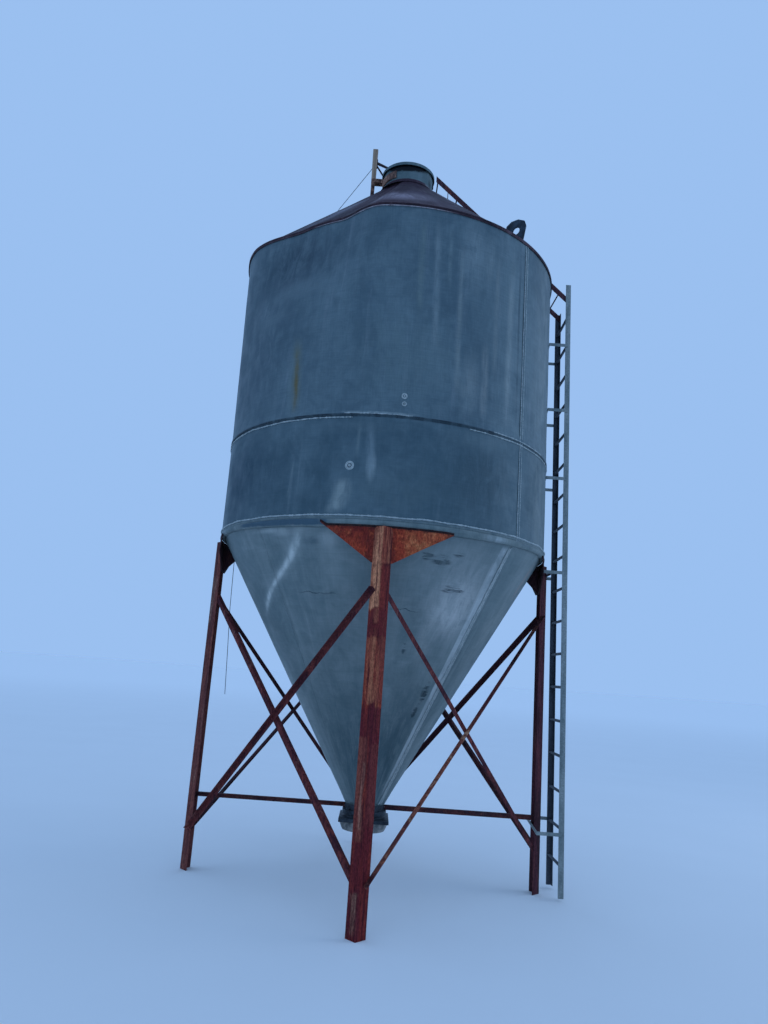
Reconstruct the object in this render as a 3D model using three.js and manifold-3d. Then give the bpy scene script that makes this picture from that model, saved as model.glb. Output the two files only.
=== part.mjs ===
// Hopper-bottom grain silo on four angle-iron legs, with a side ladder.
// Millimetres, +Z up. The front leg points to -Y and the ladder stands on the +X side.

import * as THREE from 'three';
import { mergeVertices } from 'three/addons/utils/BufferGeometryUtils.js';
import Module from 'manifold-3d';

// Heights above the ground
const Z_RING_BOTTOM = 2885;
const Z_RING_TOP = 2945;
const Z_BAND_SEAM = 3821;
const Z_EAVE = 5674;
const Z_OUTLET = 652;

// Shell, hopper and roof
const SHELL_RADIUS = 1524;
const SHEET = 5;
const SEAM_LAP = 30;
const RING_FOOT_RADIUS = 1510;
const OUTLET_RADIUS = 174;
const ROOF_SLOPE = THREE.MathUtils.degToRad(41.3);
const ROOF_OVERHANG = 9;
const ROOF_SHEET = 6;
const ROOF_LIP = 26;
const SHELL_SEAM_AZ = 47;
const HOPPER_SEAM_AZ = 46;
const GAP = 0.3;

// Flattened stretch of the eave on the front left, and the swelling beside it (azimuths in degrees)
const DENT_DEPTH = 165;
const DENT_LEFT = [-67, -41];
const DENT_RIGHT = [-7, -25];
const DENT_HEIGHT = 1100;
const SWELL = 22;
const SWELL_LEFT = [-102, -82];
const SWELL_RIGHT = [-60, -74];

// Fill neck, lid and its opener
const NECK_RADIUS = 258;
const NECK_WALL = 5;
const Z_LID_RIM_BOTTOM = 6966;
const Z_LID_RIM_TOP = 7000;
const LID_RADIUS = 280;
const LID_SHEET = 4;
const LID_RISE = 45;
const PIVOT_X = -372;
const PIVOT_Z = 6930;
const POST_SIZE = 44;
const POST_TOP = 7312;
const PIN_DIAMETER = 14;
const CHEEK_GAP = 6;
const CHEEK_PLATE = 8;

// Legs and bracing
const LEG_SIZE = 102;
const LEG_THICK = 6.5;
const LEG_HEEL = 1588;
const BRACE_SIZE = 45;
const BRACE_THICK = 5;
const Z_BRACE_TOP = 2392;
const Z_BRACE_BOTTOM = 337;
const STRUT_SIZE = 40;
const Z_STRUT = 630;
const HEAD_PLATE = 8;
const HEAD_HALF_WIDTH = 510;
const HEAD_HEIGHT = 270;
const HEAD_FACE = 1515.7;
const HEAD_SWEEP_BACK = 0.07;
const Z_HEAD_TOP = 2872;

// Outlet pieces
const Z_FLANGE_TOP = 605;
const Z_FLANGE_BOTTOM = 566;
const Z_GATE_TOP = 545;
const Z_GATE_BOTTOM = 517;
const Z_BOOT_BOTTOM = 432;
const COLLAR_RADIUS = 177;
const COLLAR_BORE = 160;
const FLANGE_RADIUS = 196;
const GATE_HALF = 220;
const BOOT_RADIUS = 216;

// Ladder
const LADDER_FOOT_X = 1727;
const LADDER_TOP_X = 1688;
const LADDER_HALF_WIDTH = 231;
const LADDER_Y = 6;
const STRINGER_SIZE = 50;
const STRINGER_THICK = 5;
const RUNG_DIAMETER = 26;
const RUNG_STEP = 301.2;
const Z_FIRST_RUNG = 285;
const RUNG_COUNT = 18;
const Z_SPLICE = 3072;
const Z_LADDER_FOOT = 25;
const Z_LADDER_TOP = [5758, 5655];
const BRACKET_HEIGHT = 30;
const BRACKET_PLATE = 6;
const Z_SHELL_BRACKETS = [5100, 4420, 3735];
const Z_HEAD_BRACKET = 2830;
const Z_LEG_BRACKET = [540, 593];

const wasm = await Module();
wasm.setup();

// Colours as seen on the object
const COLOURS = {
  galvanised: [0x5f7486, 0.55, 0.6],
  galvanisedDark: [0x4b6072, 0.58, 0.6],
  roofRust: [0x4a3a3f, 0.8, 0.3],
  rust: [0x6b2f22, 0.85, 0.2],
  rustBright: [0x9a4423, 0.88, 0.15],
  rustDark: [0x33242a, 0.85, 0.2],
  darkSteel: [0x22272e, 0.7, 0.4],
  wood: [0x8a7664, 0.9, 0.0],
  wire: [0x4a5058, 0.6, 0.5],
};

function material(name) {
  const [color, roughness, metalness] = COLOURS[name];
  return new THREE.MeshStandardMaterial({ color, roughness, metalness });
}

const rad = THREE.MathUtils.degToRad;
const vec = (x, y, z) => new THREE.Vector3(x, y, z);

// A point on a circle: azimuth 0 is the front (-Y), positive turns to +X
function polar(radius, azimuth, z) {
  return vec(radius * Math.sin(azimuth), -radius * Math.cos(azimuth), z);
}

function smooth(t) {
  const u = Math.min(1, Math.max(0, t));
  return u * u * (3 - 2 * u);
}

function rise(value, [from, to]) {
  return smooth((value - from) / (to - from));
}

// How far the front-left of the eave is pressed in. reach is 0 at the neck and 1 at the shell
function dent(azimuth, z, reach) {
  let az = azimuth;
  while (az > 180) az -= 360;
  while (az < -180) az += 360;
  const side = rise(az, DENT_LEFT) * rise(az, DENT_RIGHT);
  const pressed = side * rise(z, [Z_EAVE - DENT_HEIGHT, Z_EAVE]) * Math.sqrt(reach);
  const foot = Z_BAND_SEAM + 20;
  const up = Math.min(1, Math.max(0, (z - foot) / (Z_EAVE - foot)));
  const swollen = rise(az, SWELL_LEFT) * rise(az, SWELL_RIGHT) * up * reach ** 2;
  return DENT_DEPTH * pressed - SWELL * swollen;
}

function closedGeometry(positions, triangles) {
  const geometry = new THREE.BufferGeometry();
  geometry.setAttribute('position', new THREE.Float32BufferAttribute(positions, 3));
  const volume = signedVolume(positions, triangles);
  const ordered = [];
  for (const [a, b, c] of triangles) {
    if (volume > 0) ordered.push(a, b, c);
    else ordered.push(a, c, b);
  }
  geometry.setIndex(ordered);
  geometry.computeVertexNormals();
  return geometry;
}

function signedVolume(positions, triangles) {
  let sum = 0;
  const at = (i) => vec(positions[3 * i], positions[3 * i + 1], positions[3 * i + 2]);
  for (const [a, b, c] of triangles) {
    sum += at(a).dot(at(b).cross(at(c)));
  }
  return sum;
}

// Sweeps a closed (radius, z) outline about the axis, from one azimuth to another
function sweep(outline, fromAz, toAz, steps, press = null) {
  const full = Math.abs(toAz - fromAz) >= 360;
  const rows = full ? steps : steps + 1;
  const n = outline.length;
  const positions = [];
  for (let i = 0; i < rows; i += 1) {
    const az = fromAz + ((toAz - fromAz) * i) / steps;
    for (const [r, z] of outline) {
      const reach = Math.max(0, (r - NECK_RADIUS) / (SHELL_RADIUS - NECK_RADIUS));
      const pressed = press ? r - press(az, z, reach) : r;
      const p = polar(pressed, rad(az), z);
      positions.push(p.x, p.y, p.z);
    }
  }
  const triangles = [];
  for (let i = 0; i < steps; i += 1) {
    const a = i * n;
    const b = ((i + 1) % rows) * n;
    for (let j = 0; j < n; j += 1) {
      const k = (j + 1) % n;
      triangles.push([a + j, b + j, b + k], [a + j, b + k, a + k]);
    }
  }
  if (!full) {
    const flat = outline.map(([r, z]) => new THREE.Vector2(r, z));
    const caps = THREE.ShapeUtils.triangulateShape(flat, []);
    const clockwise = THREE.ShapeUtils.isClockWise(flat);
    const last = (rows - 1) * n;
    const sampled = clockwise ? caps.map(([p, q, r]) => [p, r, q]) : caps;
    for (const [p, q, r] of sampled) {
      triangles.push([last + p, last + q, last + r], [p, r, q]);
    }
    fixCapWinding(triangles, n, steps);
  }
  return closedGeometry(positions, triangles);
}

// Turns both end caps over where they disagree with the swept sides
function fixCapWinding(triangles, n, steps) {
  const firstCap = steps * n * 2;
  const directed = new Set();
  for (let i = 0; i < firstCap; i += 1) {
    const [a, b, c] = triangles[i];
    directed.add(`${a},${b}`);
    directed.add(`${b},${c}`);
    directed.add(`${c},${a}`);
  }
  let clash = 0;
  for (let i = firstCap; i < triangles.length; i += 1) {
    const [a, b, c] = triangles[i];
    for (const edge of [`${a},${b}`, `${b},${c}`, `${c},${a}`]) {
      if (directed.has(edge)) clash += 1;
    }
  }
  if (clash > 0) {
    for (let i = firstCap; i < triangles.length; i += 1) {
      triangles[i] = [triangles[i][0], triangles[i][2], triangles[i][1]];
    }
  }
}

function frameMatrix(origin, xAxis, yAxis, zAxis) {
  const matrix = new THREE.Matrix4().makeBasis(xAxis, yAxis, zAxis);
  matrix.setPosition(origin);
  return matrix;
}

// A flat plate: its outline is given in (u, v), its thickness runs along u x v
function plate(points, thickness, origin, uAxis, vAxis) {
  const shape = new THREE.Shape(points.map(([u, v]) => new THREE.Vector2(u, v)));
  const geometry = new THREE.ExtrudeGeometry(shape, { depth: thickness, bevelEnabled: false });
  const normal = uAxis.clone().cross(vAxis);
  geometry.applyMatrix4(frameMatrix(origin, uAxis, vAxis, normal));
  return geometry;
}

// A straight bar: the section is drawn in (u, v) and carried from one end to the other
function bar(section, from, to, uAxis) {
  const along = to.clone().sub(from);
  const length = along.length();
  along.normalize();
  const u = uAxis.clone().addScaledVector(along, -uAxis.dot(along)).normalize();
  const v = along.clone().cross(u);
  const shape = new THREE.Shape(section.map(([a, b]) => new THREE.Vector2(a, b)));
  const geometry = new THREE.ExtrudeGeometry(shape, { depth: length, bevelEnabled: false });
  geometry.applyMatrix4(frameMatrix(from, u, v, along));
  return geometry;
}

function angleSection(size, thick) {
  return [[0, 0], [size, 0], [size, thick], [thick, thick], [thick, size], [0, size]];
}

function boxGeometry(x0, x1, y0, y1, z0, z1) {
  const geometry = new THREE.BoxGeometry(x1 - x0, y1 - y0, z1 - z0);
  geometry.translate((x0 + x1) / 2, (y0 + y1) / 2, (z0 + z1) / 2);
  return geometry;
}

function rod(from, to, diameter, sides = 12) {
  const along = to.clone().sub(from);
  const geometry = new THREE.CylinderGeometry(diameter / 2, diameter / 2, along.length(), sides);
  const turn = new THREE.Quaternion().setFromUnitVectors(vec(0, 1, 0), along.clone().normalize());
  geometry.applyQuaternion(turn);
  const middle = from.clone().add(to).multiplyScalar(0.5);
  geometry.translate(middle.x, middle.y, middle.z);
  return geometry;
}

function toSolid(geometry) {
  const bare = geometry.clone();
  bare.deleteAttribute('normal');
  bare.deleteAttribute('uv');
  const merged = mergeVertices(bare, 1e-4);
  const vertProperties = new Float32Array(merged.attributes.position.array);
  const triVerts = new Uint32Array(merged.index.array);
  return new wasm.Manifold(new wasm.Mesh({ numProp: 3, vertProperties, triVerts }));
}

function fromSolid(solid) {
  const mesh = solid.getMesh();
  const geometry = new THREE.BufferGeometry();
  geometry.setAttribute('position', new THREE.BufferAttribute(mesh.vertProperties, 3));
  geometry.setIndex(new THREE.BufferAttribute(mesh.triVerts, 1));
  geometry.computeVertexNormals();
  return geometry;
}

function fuse(geometries) {
  let solid = toSolid(geometries[0]);
  for (const geometry of geometries.slice(1)) {
    solid = solid.add(toSolid(geometry));
  }
  return fromSolid(solid);
}

function cut(geometry, tools) {
  let solid = toSolid(geometry);
  for (const tool of tools) {
    solid = solid.subtract(toSolid(tool));
  }
  return fromSolid(solid);
}

function mesh(name, geometry, colour) {
  const made = new THREE.Mesh(geometry, material(colour));
  made.name = name;
  return made;
}

const silo = new THREE.Group();
silo.name = 'grain_silo';

// Cylindrical shell: two bands of two sheets each, the upper band lapped over the lower
const DENT_ROWS = 5;

function upperBandOutline() {
  const heights = [];
  for (let i = 0; i < DENT_ROWS; i += 1) {
    heights.push(Z_EAVE - DENT_HEIGHT + (DENT_HEIGHT * i) / DENT_ROWS);
  }
  heights.push(Z_EAVE - ROOF_LIP, Z_EAVE);
  const outer = heights.map((z) => [SHELL_RADIUS, z]);
  const inner = heights.map((z) => [SHELL_RADIUS - SHEET, z]);
  const lip = Z_BAND_SEAM - SEAM_LAP;
  const foot = [
    [SHELL_RADIUS - SHEET, Z_BAND_SEAM],
    [SHELL_RADIUS + GAP, Z_BAND_SEAM],
    [SHELL_RADIUS + GAP, lip],
    [SHELL_RADIUS + SHEET, lip],
    [SHELL_RADIUS + SHEET, Z_BAND_SEAM + 12],
    [SHELL_RADIUS, Z_BAND_SEAM + 20],
  ];
  return [...inner.reverse(), ...foot, ...outer];
}

const lowerBandOutline = [
  [SHELL_RADIUS - SHEET, Z_RING_TOP],
  [SHELL_RADIUS, Z_RING_TOP],
  [SHELL_RADIUS, Z_BAND_SEAM],
  [SHELL_RADIUS - SHEET, Z_BAND_SEAM],
];

const shell = new THREE.Group();
shell.name = 'shell';
const SHELL_STEPS = 40;
const halfTurns = [['front', SHELL_SEAM_AZ - 180], ['back', SHELL_SEAM_AZ]];
for (const [side, start] of halfTurns) {
  const upper = sweep(upperBandOutline(), start, start + 180, SHELL_STEPS, dent);
  shell.add(mesh(`shell_upper_${side}`, upper, 'galvanised'));
  const lower = sweep(lowerBandOutline, start, start + 180, SHELL_STEPS);
  shell.add(mesh(`shell_lower_${side}`, lower, 'galvanisedDark'));
}

// Knuckle ring between the shell and the hopper
const KNUCKLE_STEPS = 5;
const ringOutline = [[SHELL_RADIUS - 12, Z_RING_TOP], [SHELL_RADIUS + 3, Z_RING_TOP]];
for (let i = 0; i <= KNUCKLE_STEPS; i += 1) {
  const t = i / KNUCKLE_STEPS;
  const r = SHELL_RADIUS + 3 - (SHELL_RADIUS + 3 - RING_FOOT_RADIUS) * t ** 2.2;
  ringOutline.push([r, Z_RING_TOP - 12 - (Z_RING_TOP - 12 - Z_RING_BOTTOM) * t]);
}
ringOutline.push([RING_FOOT_RADIUS - 14, Z_RING_BOTTOM]);
shell.add(mesh('junction_ring', sweep(ringOutline, 0, 360, 80), 'galvanised'));

// Conical hopper of four panels
const hopperSlope = Math.atan2(Z_RING_BOTTOM - Z_OUTLET, RING_FOOT_RADIUS - OUTLET_RADIUS);
const hopperWall = SHEET / Math.sin(hopperSlope);
const hopperOutline = [
  [OUTLET_RADIUS - hopperWall, Z_OUTLET],
  [OUTLET_RADIUS, Z_OUTLET],
  [RING_FOOT_RADIUS, Z_RING_BOTTOM],
  [RING_FOOT_RADIUS - hopperWall, Z_RING_BOTTOM],
];

function hopperRadius(z) {
  const t = (z - Z_OUTLET) / (Z_RING_BOTTOM - Z_OUTLET);
  return OUTLET_RADIUS + (RING_FOOT_RADIUS - OUTLET_RADIUS) * t;
}

for (let i = 0; i < 4; i += 1) {
  const start = HOPPER_SEAM_AZ - 90 + 90 * i;
  const panel = sweep(hopperOutline, start, start + 90, 20);
  shell.add(mesh(`hopper_panel_${i + 1}`, panel, 'galvanised'));
}

// Cone roof of two halves with a short turned-down lip at the eave
const ROOF_FOOT = SHELL_RADIUS + ROOF_OVERHANG;
const roofLift = ROOF_SHEET / Math.cos(ROOF_SLOPE);
function roofHeight(radius) {
  return Z_EAVE + (SHELL_RADIUS - radius) * Math.tan(ROOF_SLOPE);
}
const roofNeckRadius = NECK_RADIUS - NECK_WALL;
const ROOF_ROWS = [480, 800, 1160];
const roofOutline = [
  [roofNeckRadius, roofHeight(roofNeckRadius)],
  ...ROOF_ROWS.map((r) => [r, roofHeight(r)]),
  [SHELL_RADIUS + 1, Z_EAVE],
  [SHELL_RADIUS + 1, Z_EAVE - ROOF_LIP],
  [ROOF_FOOT, Z_EAVE - ROOF_LIP],
  [ROOF_FOOT, Z_EAVE + roofLift - 8],
  ...ROOF_ROWS.slice().reverse().map((r) => [r, roofHeight(r) + roofLift]),
  [roofNeckRadius, roofHeight(roofNeckRadius) + roofLift],
];
for (const [side, start] of halfTurns) {
  const half = sweep(roofOutline, start, start + 180, SHELL_STEPS, dent);
  shell.add(mesh(`roof_${side}`, half, 'roofRust'));
}
silo.add(shell);

// Lifting lugs: holed plates welded upright on the roof slope near the eave
const LUG_PLATE = 14;
const lugOutline = [
  [1238, roofHeight(1238) + roofLift + GAP],
  [1250, 5985],
  [1300, 6018],
  [1372, 6020],
  [1438, 5985],
  [1456, 5930],
  [1425, roofHeight(1425) + roofLift + GAP],
];

function liftingLug(azimuth) {
  const outward = polar(1, azimuth, 0);
  const sideways = outward.clone().cross(vec(0, 0, 1));
  const origin = sideways.clone().multiplyScalar(LUG_PLATE / 2).negate();
  const blank = plate(lugOutline, LUG_PLATE, origin, outward, vec(0, 0, 1));
  const drop = sideways.clone().multiplyScalar(LUG_PLATE);
  const centre = polar(1354, azimuth, 5905);
  const drill = rod(centre.clone().sub(drop), centre.clone().add(drop), 72, 20);
  return cut(blank, [drill]);
}
silo.add(mesh('lifting_lug_front', liftingLug(rad(50)), 'darkSteel'));
silo.add(mesh('lifting_lug_back', liftingLug(rad(230)), 'darkSteel'));

// Fill neck: a short tube standing on the roof
const neckStart = SHELL_SEAM_AZ - 180;
const neckFoot = roofHeight(NECK_RADIUS) + roofLift;
const Z_NECK_TOP = 7000.9;
const neckOutline = [
  [NECK_RADIUS - NECK_WALL, roofHeight(roofNeckRadius) + roofLift + GAP],
  [NECK_RADIUS, neckFoot + GAP],
  [NECK_RADIUS, Z_NECK_TOP],
  [NECK_RADIUS - NECK_WALL, Z_NECK_TOP],
];
const neckTube = sweep(neckOutline, neckStart, neckStart + 360, 80);
const latch = boxGeometry(NECK_RADIUS - 3, NECK_RADIUS + 14, -14, 14, 6888, 6952);
silo.add(mesh('fill_neck', fuse([neckTube, latch]), 'galvanised'));

// Lid: a dished sheet with a rim that hangs over the neck
function lidBody() {
  const flat = Z_LID_RIM_TOP;
  const rise = [[0.6, 0.7], [0.3, 0.92], [0, 1]];
  const top = rise.map(([r, h]) => [r * LID_RADIUS, flat + h * LID_RISE]);
  const outer = [[LID_RADIUS, Z_LID_RIM_BOTTOM], [LID_RADIUS, flat], ...top];
  const under = top.slice().reverse().map(([r, z]) => [r, z - LID_SHEET]);
  const inner = [
    ...under,
    [LID_RADIUS - LID_SHEET, flat - LID_SHEET],
    [LID_RADIUS - LID_SHEET, Z_LID_RIM_BOTTOM],
  ];
  const profile = [...outer, ...inner].map(([r, z]) => new THREE.Vector2(r, z));
  profile.push(profile[0].clone());
  const geometry = new THREE.LatheGeometry(profile, 48);
  geometry.rotateX(Math.PI / 2);
  return geometry;
}

function lidHeight(x) {
  const r = Math.abs(x) / LID_RADIUS;
  const steps = [[0, 1], [0.3, 0.92], [0.6, 0.7], [1, 0]];
  for (let i = 1; i < steps.length; i += 1) {
    const [r0, h0] = steps[i - 1];
    const [r1, h1] = steps[i];
    if (r <= r1) {
      const h = h0 + ((h1 - h0) * (r - r0)) / (r1 - r0);
      return Z_LID_RIM_TOP + h * LID_RISE;
    }
  }
  return Z_LID_RIM_TOP;
}

const lidGroup = new THREE.Group();
lidGroup.name = 'lid_assembly';
lidGroup.add(mesh('lid', lidBody(), 'galvanised'));

// Opener: an upright post on a pin, tied to the lid by two flat stays
const half = POST_SIZE / 2;
const postBlank = boxGeometry(PIVOT_X - half, PIVOT_X + half, -half, half, PIVOT_Z - 26, POST_TOP);
const postDrill = rod(
  vec(PIVOT_X, -half - 5, PIVOT_Z),
  vec(PIVOT_X, half + 5, PIVOT_Z),
  PIN_DIAMETER + 2,
  16,
);
lidGroup.add(mesh('lid_post', cut(postBlank, [postDrill]), 'wood'));

const STAY_PLATE = 6;
const stayFace = PIVOT_X + half;
function stay(zAtPost, depth, xAtLid) {
  const z = lidHeight(xAtLid) + 1;
  const points = [
    [stayFace + GAP, zAtPost + depth / 2],
    [stayFace + GAP, zAtPost - depth / 2],
    [xAtLid - depth * 0.7, lidHeight(xAtLid - depth * 0.7) + GAP],
    [xAtLid, z],
  ];
  const origin = vec(0, STAY_PLATE / 2, 0);
  return plate(points, STAY_PLATE, origin, vec(1, 0, 0), vec(0, 0, 1));
}
const stayTab = boxGeometry(stayFace + GAP, stayFace + 6, -14, 14, 7105, 7195);
const stays = fuse([stay(7160, 30, -70), stay(7128, 16, -262), stayTab]);
lidGroup.add(mesh('lid_stays', stays, 'rustDark'));
silo.add(lidGroup);

// Bracket that carries the pin: two cheeks from the neck, standing on the roof
function roofTop(radius) {
  const foot = Z_EAVE + roofLift - 8;
  const head = roofHeight(roofNeckRadius) + roofLift;
  return foot + ((head - foot) * (ROOF_FOOT - radius)) / (ROOF_FOOT - roofNeckRadius);
}
const cheekLeft = PIVOT_X - 20;
const cheekRight = PIVOT_X + 16;
const cheekOutline = [
  [cheekLeft, roofTop(-cheekLeft) + GAP + 0.4],
  [cheekRight, roofTop(-cheekRight) + GAP + 0.4],
  [cheekRight, PIVOT_Z - 24],
  [-NECK_RADIUS - 9, PIVOT_Z - 24],
  [-NECK_RADIUS - 9, PIVOT_Z + 16],
  [PIVOT_X, PIVOT_Z + 20],
  [cheekLeft, PIVOT_Z + 14],
];
const cheekInner = half + CHEEK_GAP;
const cheeks = [-1, 1].map((side) => {
  const y = side > 0 ? cheekInner + CHEEK_PLATE : -cheekInner;
  return plate(cheekOutline, CHEEK_PLATE, vec(0, y, 0), vec(1, 0, 0), vec(0, 0, 1));
});
const cheekOuter = cheekInner + CHEEK_PLATE;
const pin = rod(
  vec(PIVOT_X, -cheekOuter - 6, PIVOT_Z),
  vec(PIVOT_X, cheekOuter + 6, PIVOT_Z),
  PIN_DIAMETER,
  16,
);
const saddle = boxGeometry(
  -NECK_RADIUS - 9, -NECK_RADIUS - GAP, -cheekOuter, cheekOuter, PIVOT_Z - 24, PIVOT_Z + 16,
);
const footTie = boxGeometry(cheekLeft + 4, cheekRight - 4, -cheekInner - 1, cheekInner + 1, 6716, 6732);
// A clamp strap that carries the bracket round the neck's front left
const clampOutline = [
  [NECK_RADIUS + 0.8, 6835],
  [NECK_RADIUS + 14, 6835],
  [NECK_RADIUS + 14, 6915],
  [NECK_RADIUS + 0.8, 6915],
];
const clamp = sweep(clampOutline, -101, -29, 16);
silo.add(mesh('lid_bracket', fuse([...cheeks, pin, saddle, footTie, clamp]), 'rust'));

// Outlet: collar with a flange, slide gate and boot
const collarOutline = [
  [COLLAR_BORE, Z_FLANGE_BOTTOM],
  [FLANGE_RADIUS, Z_FLANGE_BOTTOM],
  [FLANGE_RADIUS, Z_FLANGE_TOP],
  [COLLAR_RADIUS, Z_FLANGE_TOP],
  [COLLAR_RADIUS, Z_OUTLET],
  [COLLAR_BORE, Z_OUTLET],
];
silo.add(mesh('outlet_collar', sweep(collarOutline, 0, 360, 40), 'darkSteel'));

const gateSlab = boxGeometry(-GATE_HALF, GATE_HALF, -GATE_HALF, GATE_HALF, Z_GATE_BOTTOM, Z_GATE_TOP);
const gateNeck = new THREE.CylinderGeometry(182, 182, 25, 40);
gateNeck.rotateX(Math.PI / 2);
gateNeck.translate(0, 0, Z_FLANGE_BOTTOM - 12.5);
silo.add(mesh('outlet_gate', fuse([gateSlab, gateNeck]), 'darkSteel'));

const bootOutline = [
  [BOOT_RADIUS - 34, Z_BOOT_BOTTOM],
  [BOOT_RADIUS - 26, Z_BOOT_BOTTOM],
  [BOOT_RADIUS, Z_GATE_BOTTOM - 30],
  [BOOT_RADIUS, Z_GATE_BOTTOM],
  [BOOT_RADIUS - 8, Z_GATE_BOTTOM],
  [BOOT_RADIUS - 8, Z_GATE_BOTTOM - 30],
];
silo.add(mesh('outlet_boot', sweep(bootOutline, 0, 360, 40), 'galvanised'));

// One quarter of the stand: leg, head plate and strut, turned to each azimuth
const SQ = Math.SQRT1_2;

function legBody() {
  const section = angleSection(LEG_SIZE, LEG_THICK);
  const top = Z_RING_BOTTOM - GAP;
  return bar(section, vec(0, -LEG_HEEL, 0), vec(0, -LEG_HEEL, top), vec(SQ, SQ, 0));
}

function headPlate() {
  const top = Z_HEAD_TOP;
  const slope = Math.hypot(1, HEAD_SWEEP_BACK);
  const length = HEAD_HALF_WIDTH * slope;
  const outline = [
    [-5, top - HEAD_HEIGHT],
    [80, top - HEAD_HEIGHT],
    [length, top - 14],
    [length, top],
    [-5, top],
  ];
  const rightway = vec(1, HEAD_SWEEP_BACK, 0).divideScalar(slope);
  const leftway = vec(-1, HEAD_SWEEP_BACK, 0).divideScalar(slope);
  const inward = vec(-HEAD_SWEEP_BACK, 1, 0).divideScalar(slope).multiplyScalar(HEAD_PLATE);
  const face = vec(0, -HEAD_FACE, 0);
  const up = vec(0, 0, 1);
  const right = plate(outline, HEAD_PLATE, face.clone().add(inward), rightway, up);
  const left = plate(outline, HEAD_PLATE, face, leftway, up);
  const reach = (z) => -(hopperRadius(z) + 0.8);
  const web = [
    [-HEAD_FACE + 5, top],
    [-HEAD_FACE + 5, top - HEAD_HEIGHT + 8],
    [reach(2755), 2755],
    [reach(top), top],
  ];
  const radial = plate(web, HEAD_PLATE, vec(-HEAD_PLATE / 2, 0, 0), vec(0, 1, 0), up);
  return fuse([left, right, radial]);
}

function strutBody() {
  const w = STRUT_SIZE / 2;
  const z0 = Z_STRUT - w;
  const z1 = Z_STRUT + w;
  const outer = -(LEG_HEEL - LEG_THICK * Math.SQRT2 - w - 0.4);
  const inner = -(COLLAR_RADIUS + 0.6);
  const top = boxGeometry(-w, w, outer, inner - 14, z1 - 5, z1);
  const web = boxGeometry(-w, -w + 5, outer, inner - 14, z0, z1);
  const shoe = boxGeometry(-w, w, inner - 16, inner, z0, z1);
  const knee = [[outer, z0 + 1], [outer, z0 - 48], [outer + 52, z0 + 1]];
  const corner = plate(knee, 5, vec(-w, 0, 0), vec(0, 1, 0), vec(0, 0, 1));
  return fuse([top, web, shoe, corner]);
}

// Crossed braces of one face: one lies outside the leg flanges, one inside
function braceBody(outside) {
  const along = vec(SQ, SQ, 0);
  const outward = vec(SQ, -SQ, 0);
  const heel = vec(0, -LEG_HEEL, 0);
  const span = LEG_HEEL * Math.SQRT2;
  const inset = 58;
  const at = (s, z) => heel.clone().addScaledVector(along, s).setZ(z);
  const high = outside ? at(span - inset, Z_BRACE_TOP) : at(inset, Z_BRACE_TOP);
  const low = outside ? at(inset, Z_BRACE_BOTTOM) : at(span - inset, Z_BRACE_BOTTOM);
  const lift = outside ? GAP : -LEG_THICK - GAP;
  high.addScaledVector(outward, lift);
  low.addScaledVector(outward, lift);
  const stand = outside ? outward : outward.clone().negate();
  const run = low.clone().sub(high).normalize();
  const flat = stand.clone().cross(run);
  const a = -BRACE_SIZE / 2;
  const b = BRACE_SIZE / 2;
  const t = BRACE_THICK;
  const section = [[0, a], [BRACE_SIZE, a], [BRACE_SIZE, a + t], [t, a + t], [t, b], [0, b]];
  const matrixCheck = run.clone().cross(stand).dot(flat);
  const mirrored = matrixCheck < 0 ? section.map(([u, v]) => [u, -v]).reverse() : section;
  return bar(mirrored, high, low, stand);
}

const sides = ['front', 'right', 'back', 'left'];
for (let i = 0; i < 4; i += 1) {
  const quarter = new THREE.Group();
  quarter.name = `stand_${sides[i]}`;
  quarter.rotation.z = (i * Math.PI) / 2;
  quarter.add(mesh(`leg_${sides[i]}`, legBody(), 'rust'));
  quarter.add(mesh(`leg_head_${sides[i]}`, headPlate(), 'rustBright'));
  quarter.add(mesh(`strut_${sides[i]}`, strutBody(), 'rustDark'));
  const face = `${sides[i]}_${sides[(i + 1) % 4]}`;
  quarter.add(mesh(`brace_outer_${face}`, braceBody(true), 'rust'));
  quarter.add(mesh(`brace_inner_${face}`, braceBody(false), 'rust'));
  silo.add(quarter);
}

// Ladder: two welded lengths, each with two angle stringers and round rungs
function ladderX(z) {
  return LADDER_FOOT_X + ((LADDER_TOP_X - LADDER_FOOT_X) * z) / Z_LADDER_TOP[0];
}

function stringer(side, z0, z1) {
  const w = STRINGER_SIZE / 2;
  const t = STRINGER_THICK;
  const s = STRINGER_SIZE;
  // The section is drawn across the ladder: u outward from the wall, v towards the other stringer
  const flange = side < 0 ? [[-w, 0], [w, 0], [w, s], [w - t, s], [w - t, t], [-w, t]]
    : [[-w, 0], [-w, -t], [w - t, -t], [w - t, -s], [w, -s], [w, 0]];
  const y = LADDER_Y + side * LADDER_HALF_WIDTH;
  return bar(flange, vec(ladderX(z0), y, z0), vec(ladderX(z1), y, z1), vec(1, 0, 0));
}

function ladderLength(z0, z1Near, z1Far) {
  const parts = [stringer(-1, z0, z1Near), stringer(1, z0, z1Far)];
  for (let i = 0; i < RUNG_COUNT; i += 1) {
    const z = Z_FIRST_RUNG + i * RUNG_STEP;
    if (z > z0 && z < Math.min(z1Near, z1Far)) {
      const x = ladderX(z) - 4;
      const reach = LADDER_HALF_WIDTH - 2;
      parts.push(rod(vec(x, LADDER_Y - reach, z), vec(x, LADDER_Y + reach, z), RUNG_DIAMETER, 10));
    }
  }
  return fuse(parts);
}

const ladder = new THREE.Group();
ladder.name = 'ladder';
const lowerLength = ladderLength(Z_LADDER_FOOT, Z_SPLICE, Z_SPLICE);
ladder.add(mesh('ladder_lower', lowerLength, 'galvanised'));
const upperLength = ladderLength(Z_SPLICE + GAP, Z_LADDER_TOP[0], Z_LADDER_TOP[1]);
ladder.add(mesh('ladder_upper', upperLength, 'galvanised'));

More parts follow.
